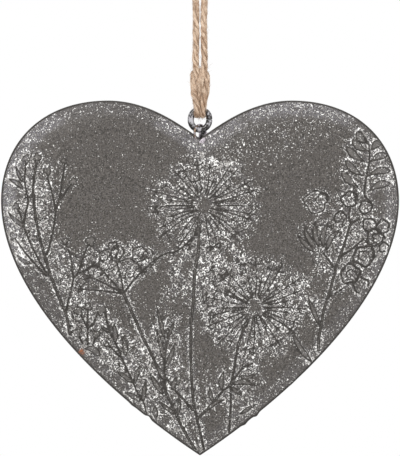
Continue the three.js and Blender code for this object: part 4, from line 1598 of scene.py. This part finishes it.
@dataclass
class Fuzz:
    """Jute fibres that have come loose: some lie along the twine and short ones stand off."""

    laid: int = 620
    laid_steps: tuple[int, int] = (8, 22)
    laid_wander: tuple[float, float] = (0.02, 0.06)
    laid_off: tuple[float, float] = (0.93, 1.06)
    stray: int = 520
    stray_length: tuple[float, float] = (0.9, 3.2)
    stray_lift: tuple[float, float] = (0.1, 0.5)
    stray_curl: tuple[float, float] = (-0.5, 0.5)
    crossing: int = 300
    crossing_height: tuple[float, float] = (3.2, 12.5)
    crossing_length: tuple[float, float] = (2, 5)
    tone_places: tuple[float, float] = (0, 40)
    thickness: float = 0.09
    steps: int = 7
    seed: int = 23
    hairs: list[Array] = field(default_factory=list)
    tones: list[tuple[float, float]] = field(default_factory=list)

    def hair(self, middles: Array, out: Array, turn: Array, tone: tuple[float, float]) -> None:
        """Adds one three-sided hair that thins towards its end.

        Args:
            middles: The points along it.
            out: The way off the twine.
            turn: The way round it.
            tone: How dark it is and where its tone is read along the twine.
        """
        thin = self.thickness * np.linspace(1, 0.4, self.steps)[:, None, None] / 2
        corners = heading(TURN * np.arange(3) / 3) @ np.stack([out, turn])
        self.hairs.append(middles[:, None] + thin * corners)
        self.tones.append(tone)

    def make(self, line: Array, radius: float, low: float) -> Piece:
        """Builds the fibres as one piece; the last ones cross the gap in the front of the hitch.

        Args:
            line: The twine's centre line.
            radius: The twine's radius.
            low: The height of the ring's top wire.

        Returns:
            The piece.
        """
        draw = np.random.default_rng(self.seed)
        tangent, side, normal = carried_frames(line)
        share = np.linspace(0, 1, self.steps)[:, None]
        for number in range(self.laid + self.stray):
            loose = number >= self.laid
            reach = 1 if loose else draw.integers(*self.laid_steps)
            k = draw.integers(4, len(line) - 4 - reach)
            angle = draw.uniform(0, TURN)
            out = heading(angle) @ (side[k], normal[k])
            tone = (draw.uniform(0, 0.55) ** 1.6, draw.uniform(*self.tone_places))
            if loose:
                way = tangent[k] * draw.choice([-1, 1])
                turn, length = np.cross(out, way), draw.uniform(*self.stray_length)
                lift, curl = draw.uniform(*self.stray_lift), draw.uniform(*self.stray_curl)
                middles = line[k] + out * (radius * 0.85 + lift * length * share**1.5)
                middles = middles + way * length * share * 0.9 + turn * curl * length * share**2
            else:
                at = k + np.round(share[:, 0] * reach).astype(int)
                bearing = angle - draw.uniform(*self.laid_wander) * reach * share
                away = side[at] * np.cos(bearing) + normal[at] * np.sin(bearing)
                off = radius * draw.uniform(*self.laid_off) + draw.uniform(0, 0.3) * share**2
                middles = line[at] + away * off
                turn = np.cross(out, tangent[k])
            self.hair(middles, out, turn, tone)
        # Painted light: the crossing fibres get paler tones than the rest, as they lie in the shade of the
        # hitch's front.
        for _ in range(self.crossing):
            z = draw.uniform(*self.crossing_height)
            x = draw.uniform(-1, 1) * (0.35 + 0.1 * z)
            start = np.array([x, 0.2 * (z - 3) - 3.1 + draw.uniform(-0.2, 0.6), low + z])
            way = np.array([draw.uniform(-0.22, 0.22), 0.2, 1]) * draw.uniform(*self.crossing_length)
            middles = start + way * share + np.array([draw.uniform(-0.5, 0.5), 0.1, 0]) * share**2
            self.hair(middles, np.array([0, 2, 0]), np.array([2.2, 0, 0]),
                      (draw.uniform(0, 0.3) ** 1.6, draw.uniform(*self.tone_places)))
        tubes = np.array(self.hairs)
        blank = np.zeros(tubes.shape[:3])
        dark, along = (blank + np.array(column)[:, None, None] for column in zip(*self.tones))
        fibres = skin("twine_stray_fibres", tubes, hollow=dark, round_x=blank, round_y=blank, along=along)
        with editing(fibres, "FACE"):
            face_outward()
        return fibres


@dataclass(frozen=True)
class Studio:
    """The camera at the photograph's framing, the soft light and the pale floor."""

    photo_height_px: int = 456
    heart_width_px: float = 398
    tip_y_px: float = 455.5
    distance: float = 1.1
    floor_below: float = 0.06
    floor_radius: float = 0.6
    lamps: tuple[tuple[str, tuple[float, float, float], float, float], ...] = (
        ("key_softbox", (-0.55, -0.8, 0.75), 0.7, 9.5),
        ("fill_softbox", (0.8, -0.7, 0.15), 0.8, 4.5),
        ("rim_softbox", (0.1, 0.7, 0.8), 0.7, 5),
    )

    def add_camera(self, heart: Heart) -> None:
        """Adds the camera, straight in front of the heart.

        Args:
            heart: The heart, which sets the scale and the height.
        """
        scale = heart.form.width * MM / self.heart_width_px
        camera = bpy.data.cameras.new("photo_camera")
        camera.sensor_width = 36
        camera.lens = camera.sensor_width * self.distance / (self.photo_height_px * scale)
        camera.clip_start, camera.clip_end = 0.01, 20
        holder = bpy.data.objects.new("photo_camera", camera)
        centre_z = heart.low[2] * MM + (self.tip_y_px - self.photo_height_px / 2) * scale
        holder.location = (0, -self.distance, centre_z)
        holder.rotation_euler = (math.pi / 2, 0, 0)
        bpy.context.collection.objects.link(holder)
        bpy.context.scene.camera = holder

    def add_light(self, heart: Heart) -> None:
        """Adds the square soft lamps and the white surroundings.

        Args:
            heart: The heart that they light.
        """
        target = Vector((0, 0, (heart.low[2] + heart.form.centre_height) * MM))
        for name, place, size, power in self.lamps:
            lamp = bpy.data.lights.new(name, "AREA")
            lamp.size, lamp.energy = size, power
            holder = bpy.data.objects.new(name, lamp)
            holder.location = target + Vector(place)
            holder.rotation_euler = Vector(place).to_track_quat("Z", "Y").to_euler()
            bpy.context.collection.objects.link(holder)
        world = bpy.data.worlds.new("studio_white")
        bpy.context.scene.world = world
        world.use_nodes = True
        kit = NodeKit(world.node_tree)
        path = kit.tree.nodes.new("ShaderNodeLightPath").outputs
        seen = kit.math("MAXIMUM", path["Is Camera Ray"], path["Is Glossy Ray"])
        seen = kit.math("MAXIMUM", seen, path["Is Transmission Ray"])
        kit.fill(kit.tree.nodes["Background"], Color=(1, 1, 1, 1), Strength=kit.range(seen, 0, 1, 0.52, 1))

    def add_floor(self, heart: Heart) -> None:
        """Adds the plain pale floor, below the photograph's view.

        Args:
            heart: The heart that hangs above it.
        """
        pick()
        bpy.ops.mesh.primitive_circle_add(
            vertices=128, radius=self.floor_radius, fill_type="NGON",
            location=(0, 0, heart.low[2] * MM - self.floor_below),
        )
        floor = named("studio_floor")
        bpy.ops.object.transform_apply(location=True, rotation=False, scale=False)
        material, kit, shader = new_material("floor_paper")
        tone = kit.range(kit.noise(kit.place(), 60), 0.3, 0.7)
        kit.fill(shader, Base_Color=kit.mix(tone, (0.86, 0.86, 0.85, 1), (0.9, 0.9, 0.89, 1)), Roughness=0.9)
        floor.data.materials.append(material)


def dress(piece: Piece, material: Material, body: Body, slot: str, *nodes: str) -> Piece:
    """Gives a finished piece its material and body, and hides the CAD nodes that it stands for.

    Args:
        piece: The piece.
        material: Its material.
        body: The body that it rides on.
        slot: The record's material slot; not used.
        nodes: The CAD nodes that it replaces.

    Returns:
        The piece.
    """
    piece.data.materials.clear()
    piece.data.materials.append(material)
    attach(piece, body.value)
    if nodes:
        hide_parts(*nodes)
    LOG.info("%s rides on %s, %d points", piece.name, body.value, len(piece.data.vertices))
    return piece


def main() -> None:
    """Builds the camera, the twine, the ring and the heart."""
    logging.basicConfig(level=logging.INFO, format="%(name)s: %(message)s")
    bpy.context.scene.view_settings.view_transform = "Standard"
    heart, studio, twine = Heart(), Studio(), Twine()
    studio.add_camera(heart)
    studio.add_light(heart)
    studio.add_floor(heart)

    jute = JuteFinish().make("natural_jute")
    loop, line = twine.make_loop()
    dress(loop, jute, Body.TWINE, "jute", "twine_leg_left", "twine_leg_right", "twine_hitch")
    knot = dress(twine.make_knot(), jute, Body.TWINE, "jute", "twine_knot")
    fibres = Fuzz().make(line, twine.diameter * twine.fullness / 2, twine.ring_top)
    fuzz = dress(fibres, jute, Body.TWINE, "jute")
    float(distances(line)[-1]) * MM

    ring_wire = WireFinish((0.035, 0.033, 0.031, 1), (0.42, 0.41, 0.43, 1)).make("ring_plating")
    dress(Ring().make(), ring_wire, Body.RING, "ring_wire", "hanging_ring")

    eye_wire = WireFinish((0.13, 0.09, 0.06, 1), (0.46, 0.44, 0.48, 1)).make("eye_plating")
    dress(heart.make_eye(), eye_wire, Body.HEART, "eye_wire", "hanging_eye")
    dress(heart.make_solder(), SolderFinish().make("dull_solder"), Body.HEART, "eye_wire")
    iron = IronFinish()
    dress(heart.make_front(), iron.make("patinated_iron"), Body.HEART, "pressed_iron", "front_shell")
    dress(heart.make_back(), iron.make("patinated_iron_back"), Body.HEART, "pressed_iron_back", "back_shell")


if __name__ == "__main__":
    main()
